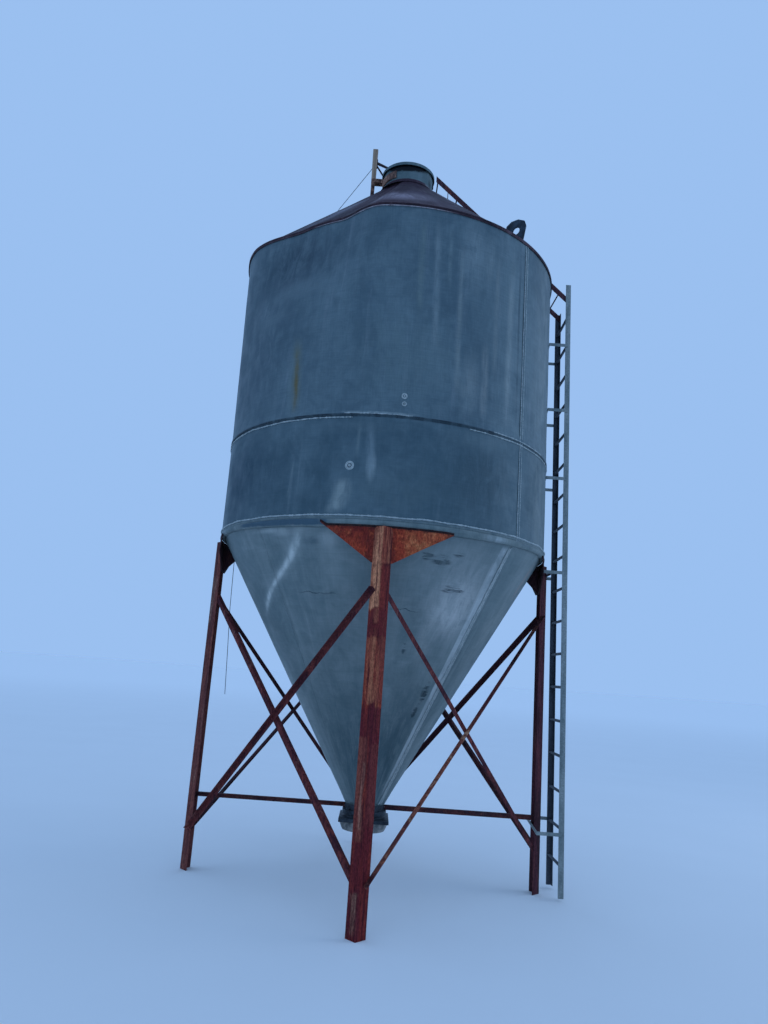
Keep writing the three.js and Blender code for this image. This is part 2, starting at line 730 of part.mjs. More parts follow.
// Arms from the stringers to the shell, on a strap that follows the wall
const armOuterY = LADDER_HALF_WIDTH + BRACKET_PLATE + GAP;
function arm(side, x0, z) {
  const inner = side * (LADDER_HALF_WIDTH + GAP) + LADDER_Y;
  const outer = side * armOuterY + LADDER_Y;
  const y0 = Math.min(inner, outer);
  const y1 = Math.max(inner, outer);
  return boxGeometry(x0, ladderX(z) + 4, y0, y1, z - BRACKET_HEIGHT / 2, z + BRACKET_HEIGHT / 2);
}

function shellBracket(z) {
  const r0 = SHELL_RADIUS + 3 * GAP;
  const r1 = SHELL_RADIUS + BRACKET_PLATE;
  const h = BRACKET_HEIGHT / 2;
  const strap = [[r0, z - h], [r1, z - h], [r1, z + h], [r0, z + h]];
  const from = 90 + THREE.MathUtils.radToDeg(Math.asin((LADDER_Y - armOuterY) / r1));
  const to = 90 + THREE.MathUtils.radToDeg(Math.asin((LADDER_Y + armOuterY) / r1));
  const x = Math.sqrt(r0 ** 2 - (armOuterY + LADDER_Y) ** 2) + 2.5;
  return fuse([sweep(strap, from, to, 8), arm(-1, x, z), arm(1, x, z)]);
}
Z_SHELL_BRACKETS.forEach((z, i) => {
  ladder.add(mesh(`ladder_bracket_shell_${i + 1}`, shellBracket(z), 'galvanisedDark'));
});

// Arms on the head plate of the right leg
function headFaceX(y) {
  return HEAD_FACE - HEAD_SWEEP_BACK * Math.abs(y);
}
function headBracket(z) {
  const h = BRACKET_HEIGHT / 2;
  const back = LEG_HEEL + 2;
  const bridge = boxGeometry(back, back + 6, LADDER_Y - armOuterY, LADDER_Y + armOuterY, z - h, z + h);
  const arms = [-1, 1].map((side) => arm(side, headFaceX(armOuterY) + 3, z));
  return fuse([bridge, ...arms]);
}
ladder.add(mesh('ladder_bracket_head', headBracket(Z_HEAD_BRACKET), 'galvanisedDark'));

// Arms on a cross bar that passes inside the right leg
function legBracket() {
  const [zNear, zFar] = Z_LEG_BRACKET;
  const h = BRACKET_HEIGHT / 2;
  const x = LEG_HEEL - LEG_SIZE * SQ - LEG_THICK * SQ - 1;
  const y0 = LADDER_Y - armOuterY;
  const y1 = LADDER_Y + armOuterY;
  const points = [[y0, zNear - h], [y1, zFar - h], [y1, zFar + h], [y0, zNear + h]];
  const origin = vec(x - BRACKET_PLATE, 0, 0);
  const cross = plate(points, BRACKET_PLATE, origin, vec(0, 1, 0), vec(0, 0, 1));
  return fuse([cross, arm(-1, x - BRACKET_PLATE, zNear), arm(1, x - BRACKET_PLATE, zFar)]);
}
ladder.add(mesh('ladder_bracket_leg', legBracket(), 'galvanised'));

// Roof ladder: two rails from the stringers to the neck, parallel to the slope, with thin rungs
const RAIL_DEPTH = 48;
const RAIL_PLATE = 8;
const RAIL_TOP_X = 292;
const RAIL_RUNG = 14;
const railSlope = 0.917;
const RAIL_LIFT = [0, 40];
const RAIL_RUNGS_X = [1596, 1380, 1164, 948, 732, 516, 310];
const RAIL_FEET_X = [420, 1330];

function railZ(x, lift) {
  return 5613 + (1655 - x) * railSlope + lift;
}

function roofLadder() {
  const parts = [];
  const endX = ladderX(5600) + STRINGER_SIZE / 2 - STRINGER_THICK - 1;
  const tall = (RAIL_DEPTH / 2) * Math.hypot(1, railSlope);
  const inset = STRINGER_THICK + GAP;
  const middle = [];
  for (const [side, lift] of [[-1, RAIL_LIFT[0]], [1, RAIL_LIFT[1]]]) {
    const outline = [
      [RAIL_TOP_X, railZ(RAIL_TOP_X, lift) - tall],
      [endX, railZ(endX, lift) - tall],
      [endX, railZ(endX, lift) + tall],
      [RAIL_TOP_X, railZ(RAIL_TOP_X, lift) + tall],
    ];
    const outerY = LADDER_Y + side * (LADDER_HALF_WIDTH - inset);
    const yPlate = side < 0 ? outerY + RAIL_PLATE : outerY;
    parts.push(plate(outline, RAIL_PLATE, vec(0, yPlate, 0), vec(1, 0, 0), vec(0, 0, 1)));
    middle.push(outerY - side * (RAIL_PLATE / 2));
    for (const x of RAIL_FEET_X) {
      const y = outerY - side * (RAIL_PLATE / 2);
      const foot = roofTop(Math.hypot(x, Math.abs(y))) + 15;
      parts.push(rod(vec(x, y, foot), vec(x, y, railZ(x, lift)), 8, 8));
    }
  }
  for (const x of RAIL_RUNGS_X) {
    const from = vec(x, middle[0], railZ(x, RAIL_LIFT[0]));
    const to = vec(x, middle[1], railZ(x, RAIL_LIFT[1]));
    parts.push(rod(from, to, RAIL_RUNG, 8));
  }
  return fuse(parts);
}
ladder.add(mesh('roof_ladder', roofLadder(), 'rustDark'));
silo.add(ladder);

// Pull wire from the post over the eave and down the back-left wall
const WIRE_DIAMETER = 6;
const WIRE_AZ = rad(-106);
const wireHang = ROOF_FOOT + 3.4;
const wireOnHead = 1549.6;
const wirePoints = [
  vec(PIVOT_X - 14, 32, 7128),
  polar(wireHang, WIRE_AZ, Z_EAVE + 4.5),
  polar(wireHang, WIRE_AZ, Z_EAVE - 60),
  polar(wireOnHead, WIRE_AZ, Z_HEAD_TOP + 8),
  polar(wireOnHead, WIRE_AZ, 2790),
  polar(1540, WIRE_AZ, 2320),
  polar(1516, WIRE_AZ, 1925),
  polar(1494, WIRE_AZ, 1500),
];
const wireParts = [];
for (let i = 1; i < wirePoints.length; i += 1) {
  wireParts.push(rod(wirePoints[i - 1], wirePoints[i], WIRE_DIAMETER, 8));
  if (i < wirePoints.length - 1) {
    const ball = new THREE.IcosahedronGeometry(WIRE_DIAMETER / 2 + 0.4, 0);
    ball.translate(wirePoints[i].x, wirePoints[i].y, wirePoints[i].z);
    wireParts.push(ball);
  }
}
silo.add(mesh('pull_wire', fuse(wireParts), 'wire'));

// The frame's origin is the middle of the footprint, on the ground
const bounds = new THREE.Box3().setFromObject(silo);
const middle = bounds.getCenter(new THREE.Vector3());
silo.position.set(-middle.x, -middle.y, -bounds.min.z);
silo.updateMatrixWorld(true);

export default silo;
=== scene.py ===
# %% [markdown]
# # Dressing a grain silo
# The object is a farm silo: a drum of rolled sheet with a cone roof above and a steep hopper below.
# It stands on four legs of angle iron, with crossed braces and a ladder at its side.
# The measured solids come in first and fix every size. Each piece made here sits where they say.

# %% Bring in the measured model
import math

import bmesh
import bpy
from mathutils import Matrix, Vector, noise


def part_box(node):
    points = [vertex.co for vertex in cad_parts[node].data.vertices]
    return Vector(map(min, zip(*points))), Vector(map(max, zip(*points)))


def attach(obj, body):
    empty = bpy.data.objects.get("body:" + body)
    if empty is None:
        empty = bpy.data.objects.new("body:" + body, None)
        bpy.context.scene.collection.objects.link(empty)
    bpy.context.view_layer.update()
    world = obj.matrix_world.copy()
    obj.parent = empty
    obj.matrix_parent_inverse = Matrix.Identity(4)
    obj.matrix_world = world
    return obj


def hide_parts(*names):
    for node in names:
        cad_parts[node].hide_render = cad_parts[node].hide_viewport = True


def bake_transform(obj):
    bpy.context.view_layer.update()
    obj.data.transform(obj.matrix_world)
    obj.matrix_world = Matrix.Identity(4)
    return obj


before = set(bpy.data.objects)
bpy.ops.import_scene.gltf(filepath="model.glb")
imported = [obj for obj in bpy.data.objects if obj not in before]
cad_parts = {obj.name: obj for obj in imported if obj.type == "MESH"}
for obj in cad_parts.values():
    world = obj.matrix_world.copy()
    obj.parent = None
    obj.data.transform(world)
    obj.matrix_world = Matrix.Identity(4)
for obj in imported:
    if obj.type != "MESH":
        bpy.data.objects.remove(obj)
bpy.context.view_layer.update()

ring_low, ring_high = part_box("junction_ring")
AXIS = Vector(((ring_low.x + ring_high.x) / 2, 0.0, 0.0))
print("nodes", len(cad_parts), "axis of the drum at x", round(AXIS.x, 4))

# %% [markdown]
# ## Camera
# The picture was taken with a hand-held wide lens from about eye height, tilted up by twelve degrees
# and turned a little on its side. Its place was solved together with the silo, so it is set from
# numbers. Blender gives the sensor's 36 mm to the longer side, which is the picture's height.

# %% Camera
CAMERA_PLACE = AXIS + Vector((0.0, -7.2813, 1.7935))
CAMERA_YAW, CAMERA_PITCH, CAMERA_ROLL = -0.00139, 0.20883, 0.07021
FOCAL_PIXELS, PICTURE_HEIGHT, SENSOR = 765.0, 1024, 36.0


def camera_turn(yaw, pitch, roll):
    ahead = Vector((math.sin(yaw), math.cos(yaw), 0.0))
    forward = ahead * math.cos(pitch) + Vector((0.0, 0.0, math.sin(pitch)))
    level_right = Vector((math.cos(yaw), -math.sin(yaw), 0.0))
    level_up = level_right.cross(forward)
    right = math.cos(roll) * level_right + math.sin(roll) * level_up
    up = math.cos(roll) * level_up - math.sin(roll) * level_right
    return Matrix((right, up, -forward)).transposed().to_4x4()


def show(name, data):
    """Puts a new object into the scene."""
    thing = bpy.data.objects.new(name, data)
    bpy.context.scene.collection.objects.link(thing)
    return thing


lens = bpy.data.cameras.new("camera")
lens.sensor_width = SENSOR
lens.lens = FOCAL_PIXELS / PICTURE_HEIGHT * SENSOR
camera = show("camera", lens)
camera.matrix_world = Matrix.Translation(CAMERA_PLACE) @ camera_turn(CAMERA_YAW, CAMERA_PITCH, CAMERA_ROLL)
bpy.context.scene.camera = camera
print("lens", round(lens.lens, 2), "mm")

# %% [markdown]
# ## Small tools
# Most pieces are placed by a radius, an azimuth and a height about the drum's axis. Azimuth 0 is the
# front and 90 the ladder's side. The tools below make that point, join rows of points into a shape,
# and hang the finished object on the body that it moves with.

# %% Points, shapes and objects
SILO = "silo"
LID_BODY = "lid_assembly"
SMOOTH_ANGLE = math.radians(40)
Z_EAVE, Z_BAND_SEAM, Z_RING_TOP, Z_RING_BOTTOM, Z_OUTLET = 5.674, 3.821, 2.945, 2.885, 0.652
NECK_RADIUS, SHELL_RADIUS = 0.258, 1.524


def around(radius, azimuth, z):
    turn = math.radians(azimuth)
    return AXIS + Vector((radius * math.sin(turn), -radius * math.cos(turn), z))


def skin(shape, rows, ring=True, caps=True):
    """Joins rows of corners with faces. ring closes every row, caps closes both ends."""
    count = len(rows[0])
    for one, two in zip(rows, rows[1:]):
        for j in range(count if ring else count - 1):
            k = (j + 1) % count
            shape.faces.new((one[j], one[k], two[k], two[j]))
    if caps:
        shape.faces.new(rows[0][::-1])
        shape.faces.new(rows[-1])
    bmesh.ops.recalc_face_normals(shape, faces=shape.faces)
    return shape


def loft(rows, ring=True, caps=True):
    """A new shape from rows of points."""
    shape = bmesh.new()
    return skin(shape, [[shape.verts.new(point) for point in row] for row in rows], ring, caps)


def merged(shape):
    """Joins corners that touch and turns all faces outward."""
    bmesh.ops.remove_doubles(shape, verts=shape.verts, dist=1e-6)
    bmesh.ops.recalc_face_normals(shape, faces=shape.faces)
    return shape


# %% Pieces
def from_bmesh(name, shape):
    made = bpy.data.meshes.new(name)
    shape.to_mesh(made)
    shape.free()
    return made


def place(name, made, finish, body=SILO, stands_for=()):
    """Links a finished shape or mesh as a piece, which stands for some of the measured nodes."""
    if isinstance(made, bmesh.types.BMesh):
        made = from_bmesh(name, made)
    made.materials.clear()
    made.materials.append(finish)
    made.shade_smooth()
    made.set_sharp_from_angle(angle=SMOOTH_ANGLE)
    piece = show(name, made)
    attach(piece, body)
    if stands_for:
        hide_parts(*stands_for)
    return piece


# %% [markdown]
# A material here is a small tree of nodes. A flow is what comes out of one node, and arithmetic with
# flows adds maths nodes to their tree. The other helpers each add one node and hand back its flow, so
# a finish reads as a few lines of arithmetic. Whole-surface numbers such as metalness are set on the
# shader itself.

# %% Flows and their nodes
class Flow:
    """One output of a node."""

    def __init__(self, socket):
        self.socket, self.node, self.tree = socket, socket.node, socket.id_data

    def __add__(self, other):
        return calc("ADD", self, other)

    def __sub__(self, other):
        return calc("SUBTRACT", self, other)

    def __mul__(self, other):
        return calc("MULTIPLY", self, other)

    def __truediv__(self, other):
        return calc("DIVIDE", self, other)


def add(kind, inputs=None, tree=None, out=0, **settings):
    """Adds a node to the given tree, or to the one that its inputs come from."""
    inputs = inputs or {}
    tree = tree or next(value.tree for value in inputs.values() if isinstance(value, Flow))
    node = tree.nodes.new(kind)
    for key, value in settings.items():
        setattr(node, key, value)
    for key, value in inputs.items():
        if isinstance(value, Flow):
            tree.links.new(value.socket, node.inputs[key])
        else:
            node.inputs[key].default_value = value
    return Flow(node.outputs[out]) if len(node.outputs) else None


def calc(operation, first, second=0.0):
    return add("ShaderNodeMath", {0: first, 1: second, 2: 0.0}, operation=operation)


def apart(first, second):
    return calc("ABSOLUTE", first - second)


# %% Vectors, ranges and colours
def combine(x, y, z=0.0):
    return add("ShaderNodeCombineXYZ", {0: x, 1: y, 2: z})


def split(vector):
    return [Flow(part) for part in add("ShaderNodeSeparateXYZ", {0: vector}).node.outputs]


def stretch(vector, x, y, z=1.0):
    return add("ShaderNodeVectorMath", {0: vector, 1: (x, y, z)}, operation="MULTIPLY")


def size_of(vector):
    return add("ShaderNodeVectorMath", {0: vector}, out=1, operation="LENGTH")


def span(value, low, high, to_low=0.0, to_high=1.0):
    """Eases a value from one range to another and stops at both ends."""
    inputs = {0: value, 1: low, 2: high, 3: to_low, 4: to_high}
    return add("ShaderNodeMapRange", inputs, interpolation_type="SMOOTHSTEP")


def within(value, low, high, blur):
    """1 between low and high, and 0 beyond the blurred ends."""
    return span(value, low - blur, low + blur) * span(value, high + blur, high - blur)


def cloud(where, scale, detail=3.0, rough=0.55, warp=0.0):
    inputs = {"Vector": where, "Scale": scale, "Detail": detail, "Roughness": rough, "Distortion": warp}
    return add("ShaderNodeTexNoise", inputs)


def mix(amount, first, second, how="MIX"):
    return add("ShaderNodeMix", {0: amount, 6: first, 7: second}, out=2, data_type="RGBA", blend_type=how)


def dimmed(colour, bright):
    """The colour times a brightness."""
    grey = add("ShaderNodeCombineColor", {0: bright, 1: bright, 2: bright})
    return mix(1.0, colour, grey, "MULTIPLY")


def tint(code):
    """A colour from its six-digit code, as the linear values that Blender mixes."""
    parts = [int(code[i:i + 2], 16) / 255 for i in (0, 2, 4)]
    return tuple(p / 12.92 if p <= 0.04045 else ((p + 0.055) / 1.055) ** 2.4 for p in parts) + (1.0,)


# %% The start and end of a finish
def start_finish(name):
    finish = bpy.data.materials.new(name)
    finish.use_nodes = True
    finish.node_tree.nodes.clear()
    return finish, finish.node_tree


def object_place(tree):
    return add("ShaderNodeTexCoord", tree=tree, out="Object")


def end_finish(colour, roughness, height, relief, metal=0.0, gloss=0.3):
    """Joins colour, roughness and relief to the shader. relief is the bump's height in metres."""
    bump = add("ShaderNodeBump", {"Strength": 1.0, "Distance": relief, "Height": height})
    shader = add("ShaderNodeBsdfPrincipled", {
        "Base Color": colour, "Roughness": roughness, "Metallic": metal, "Specular IOR Level": gloss,
        "Normal": bump,
    })
    add("ShaderNodeOutputMaterial", {0: shader})


# %% [markdown]
# ## Zinc sheet
# Old galvanised sheet is dull blue-grey. Rain draws pale streaks of zinc oxide straight down it, the
# rolling leaves faint level lines, and single marks sit at known places: a rust run, scrapes, pale
# patches, and also painted shade and painted highlights where light falls on the sheet unevenly. So the
# sheets carry an attribute with azimuth, height and arc length, and the finish is drawn on that. Each
# kind of mark is a function of the wall. A spot is a soft oval, a scuff is a torn spot, a trail is a
# soft line through given points, a hoop is a level line and a crack a hoop that wanders. A lap is a
# band down the hopper.

# %% Marks on the wall
HOPPER_TOP_RADIUS, HOPPER_FOOT_RADIUS = 1.470, 0.174
HOPPER_GROW = (HOPPER_TOP_RADIUS - HOPPER_FOOT_RADIUS) / (Z_RING_BOTTOM - Z_OUTLET)
HOOP_FADE = 4  # degrees


def wall_maps(tree):
    """Azimuth in degrees, height in metres, and a flat map in metres for even textures."""
    azimuth, height, arc = split(add("ShaderNodeAttribute", tree=tree, out="Vector", attribute_name="wall"))
    return azimuth, height, combine(arc, height)


def spot(wall, middle, level, half_width, half_height):
    azimuth, height, _ = wall
    across, along = (azimuth - middle) / half_width, (height - level) / half_height
    return span(size_of(combine(across, along)), 1.0, 0.0)


def scuff(wall, *oval):
    _, _, flat = wall
    torn = cloud(stretch(flat, 0.3, 1.6), 24.0, 5.0, 0.7, 0.3)
    return span(spot(wall, *oval) * span(torn, 0.38, 0.62), 0.05, 0.5)


# %% Lines on the wall
def trail(wall, half_width, *points):
    """points are (azimuth, height) pairs from the lowest to the highest."""
    azimuth, height, _ = wall
    low, high = points[0][1], points[-1][1]
    left = min(p[0] for p in points) - 1.0
    right = max(p[0] for p in points) + 1.0
    up = (height - low) / (high - low)
    curve = add("ShaderNodeFloatCurve", {1: up})
    knots = curve.node.mapping.curves[0].points
    while len(knots) < len(points):
        knots.new(0.5, 0.5)
    for knot, (place_az, place_z) in zip(knots, points):
        knot.location = ((place_z - low) / (high - low), (place_az - left) / (right - left))
    curve.node.mapping.update()
    band = span(apart(azimuth, curve * (right - left) + left), half_width, 0.0)
    return band * (span(up, 0.0, 0.25) * span(up, 1.0, 0.7))


def hoop(wall, middle, half_height, start, end):
    azimuth, height, _ = wall
    line = span(apart(height, middle), half_height, half_height * 0.3)
    return line * within(azimuth, start, end, HOOP_FADE)


def crack(wall, *line):
    azimuth, height, flat = wall
    wander = cloud(flat, 9.0, 4.0, 0.6) * 0.09 - 0.045
    return hoop((azimuth, height + wander, flat), *line)


def lap(wall, centre, half_width, low, high):
    """Its width is even and its sides are firm."""
    azimuth, height, _ = wall
    radius = (height - Z_OUTLET) * HOPPER_GROW + HOPPER_FOOT_RADIUS
    away = calc("RADIANS", apart(azimuth, centre)) * radius
    ends = span(height, low, low + 0.3) * span(height, high, high - 0.05)
    return span(away, half_width, half_width * 0.7) * ends


# %% Zinc finish
def zinc(name, tones, streak=0.5, grain=0.08, marks=(), metal=0.25, gloss=0.3, fan=False):
    """tones is dark, light and pale. fan draws the streaks down a cone in place of a drum. A mark is
    its kind, its sizes, a colour and a strength."""
    dark, light, pale = (tint(code) for code in tones)
    finish, tree = start_finish(name)
    azimuth, height, flat = wall = wall_maps(tree)
    broad = cloud(stretch(flat, 1.0, 0.5), 1.3, 6.0, 0.62, 0.5)
    blots = cloud(flat, 7.0, 5.0, 0.68, 0.7)
    colour = mix(span(broad * 0.7 + blots * 0.3, 0.38, 0.62), dark, light)
    lines = combine(azimuth * 0.016, height) if fan else flat
    runs = cloud(stretch(lines, 1.0, 0.045), 17.0, 6.0, 0.62)
    breaks = cloud(stretch(flat, 1.0, 0.5), 2.2, 4.0, 0.6)
    wet = span(runs, 0.48, 0.8) * span(breaks, 0.36, 0.66)
    colour = mix(wet * streak, colour, pale)
    dry = span(runs, 0.46, 0.24) * span(breaks, 0.64, 0.38)
    colour = mix(dry * streak, colour, dark)
    level = cloud(stretch(flat, 0.4, 14.0), 3.0, 4.0, 0.6)
    colour = mix(span(level, 0.45, 0.75, 0.0, 0.22), colour, dark)
    worn = cloud(stretch(flat, 1.0, 0.35), 11.0, 5.0, 0.7, 0.6)
    ragged = span(worn, 0.36, 0.6, 0.4, 1.0)
    for kind, sizes, code, strength in marks:
        colour = mix(kind(wall, *sizes) * ragged * strength, colour, tint(code))
    upright = cloud(stretch(flat, 1.0, 0.07), 95.0, 3.0, 0.7)
    across = cloud(stretch(flat, 0.07, 1.0), 95.0, 3.0, 0.7)
    weave = upright * 0.5 + across * 0.5
    colour = dimmed(colour, span(weave, 0.36, 0.64, 1.0 - grain, 1.0 + grain))
    rough = span(cloud(flat, 5.0, 3.0, 0.6), 0.3, 0.7, 0.5, 0.68)
    end_finish(colour, rough, weave, 0.0005, metal, gloss)
    return finish


# %% Marks on the drum
UPPER_MARKS = [
    # Painted shade on the left side, away from the light.
    (spot, (-50, 4.7, 34, 1.5), "3c525e", 0.75),
    # Painted shade in the dent under the eave.
    (spot, (-42, 5.35, 30, 0.5), "2c424f", 0.9),
    (spot, (-36, 5, 24, 0.16), "65777d", 0.7),
    (spot, (-50, 4.78, 14, 0.1), "62747a", 0.6),
    (spot, (-8, 5.5, 9, 0.3), "485d66", 0.7),
    # Painted shade on the left side.
    (spot, (-70, 4.7, 26, 1.2), "435862", 0.8),
    (spot, (3, 4.3, 26, 0.6), "677a7c", 0.5),
    (spot, (-34.5, 4.2, 2.2, 0.42), "6b7c7c", 0.5),
    (trail, (2.6, (-32, 3.79), (-32.2, 4.12), (-33.3, 4.55)), "6f6d50", 0.6),
    (trail, (1.2, (-32, 3.8), (-32.2, 4.1), (-33, 4.42)), "6a5c38", 0.85),
    (trail, (1.6, (11.8, 4.3), (11.2, 5.1), (10.4, 5.66)), "7c8a8d", 0.75),
    (trail, (1.8, (6.2, 4.6), (5.8, 5.66)), "71817f", 0.6),
    (trail, (1.1, (15.4, 4.9), (15, 5.6)), "768688", 0.6),
    (trail, (1.6, (19.4, 3.9), (19.3, 5.5)), "7c8888", 0.7),
    (spot, (23.5, 5.3, 7, 0.5), "7a898d", 0.95),
    (spot, (29.5, 5.3, 3, 0.35), "828f91", 0.7),
    (spot, (24, 4.15, 6.5, 0.42), "7a8688", 0.85),
    (spot, (30, 4.75, 14, 0.9), "53676f", 0.6),
    (trail, (2, (29.5, 3.84), (29.2, 4.6)), "858d8d", 0.8),
    (trail, (1.6, (33, 4.2), (33.2, 5.5)), "768284", 0.6),
    (trail, (2.2, (38.8, 3.84), (40, 5.6)), "828e8f", 0.75),
    (trail, (0.8, (43.9, 3.84), (43.7, 5.66)), "3c5059", 0.8),
    # Painted light on the right side, which faces the light.
    (spot, (64, 4.75, 17, 2.2), "7c8686", 0.8),
    # Painted shadow under the upper band's lip, in this line and the next.
    (hoop, (3.797, 0.009, -190, 36), "232f38", 0.95),
    (hoop, (3.797, 0.007, 36, 190), "3c4a50", 0.8),
    # A painted highlight just above the lip.
    (hoop, (3.816, 0.01, -14, 6), "8f9a9b", 0.8),
]
LOWER_MARKS = [
    # Painted shade on the left side.
    (spot, (-56, 3.35, 32, 0.5), "2b4654", 0.95),
    (spot, (30, 3.35, 20, 0.6), "3a4f58", 0.8),
    (spot, (4, 3.2, 26, 0.28), "586b6f", 0.5),
    (spot, (-5, 3.37, 2, 0.16), "96a1a1", 0.95),
    (trail, (2.2, (-5.2, 3.24), (-6, 3.76)), "75858a", 0.8),
    (trail, (4.2, (-18.5, 2.97), (-14.8, 3.04), (-13.2, 3.3)), "8e9997", 0.9),
    (trail, (0.9, (-9.6, 3.42), (-9.2, 3.79)), "6d7d80", 0.7),
    (trail, (0.5, (-31.5, 3.1), (-30, 3.45)), "6d7d80", 0.7),
    (spot, (-10, 3.7, 18, 0.09), "617277", 0.6),
    (spot, (31, 3.7, 24, 0.12), "63757a", 0.7),
    # Painted light on the right side.
    (spot, (64, 3.3, 16, 1.4), "76807f", 0.8),
    # Painted shadow under the upper band's lip.
    (hoop, (3.783, 0.009, -190, 36), "26333c", 0.9),
    (hoop, (2.945, 0.042, -190, 190), "7a8684", 0.75),
]
shell_upper_zinc = zinc("zinc upper band", ("4b6069", "64777d", "848f96"), 0.55, 0.09, UPPER_MARKS)
shell_lower_zinc = zinc("zinc lower band", ("425962", "5b6f76", "78858a"), 0.45, 0.07, LOWER_MARKS)
print("marks on the drum", len(UPPER_MARKS) + len(LOWER_MARKS))

# %% Marks on the knuckle, hopper and neck
KNUCKLE_MARKS = [
    # Painted shade in the knuckle's crease at the front left.
    (hoop, (2.921, 0.032, -50, -18), "445b67", 2.5),
    (spot, (-70, 2.93, 12, 0.04), "8e9aa0", 0.7),
    (spot, (37, 2.915, 8, 0.05), "a3adae", 0.8),
    (spot, (52, 2.93, 10, 0.03), "55666c", 0.8),
]
knuckle_zinc = zinc("zinc knuckle", ("5a6b6d", "7f8a88", "a5a8a3"), 0.5, 0.1, KNUCKLE_MARKS)
HOPPER_MARKS = [
    (spot, (0, 1, 80, 1), "3e555b", 0.9),
    (spot, (26, 1.2, 16, 0.8), "3e545b", 0.7),
    (spot, (-2, 2.45, 12, 0.5), "748486", 0.6),
    (spot, (30, 2.5, 26, 0.6), "949a99", 0.9),
    (trail, (6, (-66, 2.2), (-52, 2.4), (-40, 2.56), (-31, 2.74), (-26.5, 2.94)), "99a2a0", 0.85),
    (trail, (2.8, (-66, 2.2), (-52, 2.4), (-40, 2.56), (-31, 2.74), (-26.5, 2.98)), "c6cbc6", 1),
    (spot, (-33, 2.85, 7, 0.035), "a2aaa8", 0.8),
    (spot, (-18, 2.8, 5, 0.1), "a4aba9", 0.8),
    (spot, (33, 2.36, 15, 0.34), "b9bab7", 0.85),
    (spot, (30, 2.31, 10, 0.18), "bdbebb", 0.7),
    (spot, (24, 2.2, 7, 0.5), "a9aca9", 0.5),
    # Painted light on the right side.
    (spot, (64, 2.3, 14, 1.1), "8f9795", 0.8),
    (spot, (-38, 2.875, 12, 0.03), "a2aaa8", 1),
    (spot, (-24, 2.79, 6, 0.05), "52646a", 0.9),
    (trail, (3, (70, 2.5), (71, 2.9)), "968c86", 0.7),
    (lap, (43.6, 0.046, 0.7, 2.9), "a7aeae", 1),
    (lap, (43.6, 0.04, 0.7, 2.5), "b2b8b7", 0.9),
    (trail, (0.8, (41.4, 2.2), (41.6, 2.88)), "a9adab", 0.7),
    (trail, (0.8, (49, 1.4), (48.8, 2), (48.2, 2.88)), "56666a", 0.7),
    (scuff, (15, 2.73, 3.4, 0.05), "26343a", 0.95),
    (scuff, (20.5, 2.705, 5.5, 0.07), "26343a", 0.95),
    (scuff, (26, 2.765, 3.5, 0.03), "26343a", 0.9),
    (scuff, (28.5, 2.5, 8.5, 0.045), "2c3a42", 0.9),
    (scuff, (35.6, 1.66, 4.2, 0.14), "26343a", 0.9),
    (scuff, (33.6, 1.5, 3.4, 0.08), "26343a", 0.8),
    (crack, (2.4, 0.007, -32, -18), "2a3940", 1),
    (crack, (2.31, 0.005, 5, 15), "3a4a50", 0.8),
    (scuff, (14, 2.02, 1.8, 0.08), "36454c", 0.8),
]
NECK_MARKS = [
    # Painted shadow under the lid's rim.
    (spot, (-4, 6.975, 60, 0.085), "070d13", 8),
    (spot, (62, 6.86, 12, 0.07), "121c24", 0.9),
    (spot, (0, 6.74, 200, 0.04), "39393f", 0.8),
]
hopper_zinc = zinc("zinc hopper", ("647577", "869190", "a6aaa7"), 0.4, 0.05, HOPPER_MARKS)
neck_zinc = zinc("zinc neck", ("475b5e", "66787b", "8a9798"), 0.7, 0.08, NECK_MARKS)
lid_zinc = zinc("zinc lid", ("475a5d", "627476", "8b9898"), 0.5, 0.08)
print("zinc finishes made")

# %% [markdown]
# ## Roof
# The roof's zinc has gone thin, and a dark rust film covers most of it, in streaks that run down from
# the neck. It stays pale in front where it was once patched. Painted highlights run down its edges on
# both sides, the broader one towards the ladder.

# %% Roof finish
ROOF_MARKS = [
    (spot, (0, 6.62, 200, 0.34), "33242f", 0.95),
    (spot, (0, 5.7, 95, 0.14), "442b33", 0.95),
    (spot, (-42, 5.95, 38, 0.6), "2a222d", 0.95),
    (spot, (-4, 6.02, 24, 0.24), "948690", 0.95),
    (spot, (6, 6.22, 13, 0.16), "524452", 0.8),
    (spot, (16, 5.9, 8, 0.16), "4a3843", 0.8),
    # Painted highlights along the roof's right edge, in this line and the next.
    (spot, (54, 6.25, 28, 0.9), "a09a9c", 0.95),
    (spot, (48, 6.25, 12, 0.8), "b8b4ba", 1),
    (trail, (2.5, (39, 5.8), (36, 6.6)), "3a3038", 0.8),
    # A painted highlight along the roof's left edge.
    (spot, (-50, 6.2, 9, 0.6), "8e8a94", 0.7),
    (spot, (30, 6.35, 9, 0.35), "8a8087", 0.8),
    (spot, (-92, 6.1, 30, 0.6), "736e72", 0.8),
    (spot, (150, 6.1, 40, 0.6), "767072", 0.7),
]
roof_rust = zinc("rust film on roof", ("362730", "503e47", "756a70"), 0.9, 0.12, ROOF_MARKS, 0.0, 0.05, True)
EAVE_MARKS = [
    # A painted highlight on the rim's lower edge.
    (hoop, (Z_EAVE - 0.026, 0.006, -34, 14), "b8b0b4", 0.9),
    (hoop, (Z_EAVE - 0.01, 0.01, -60, 30), "221a22", 0.8),
]
eave_rust = zinc("eave rim", ("2c2027", "523e44", "8f8388"), 0.35, 0.2, EAVE_MARKS, 0.0, 0.08)

# %% [markdown]
# ## Rust
# The stand was painted once. Now it is red-brown rust with brighter orange blooms, dark scale and
# some tan where the old paint holds, all drawn out along the bars by rain. Object coordinates keep
# the pattern in place on every bar.

# %% Rust finish
PATCH_BLUR = 0.012


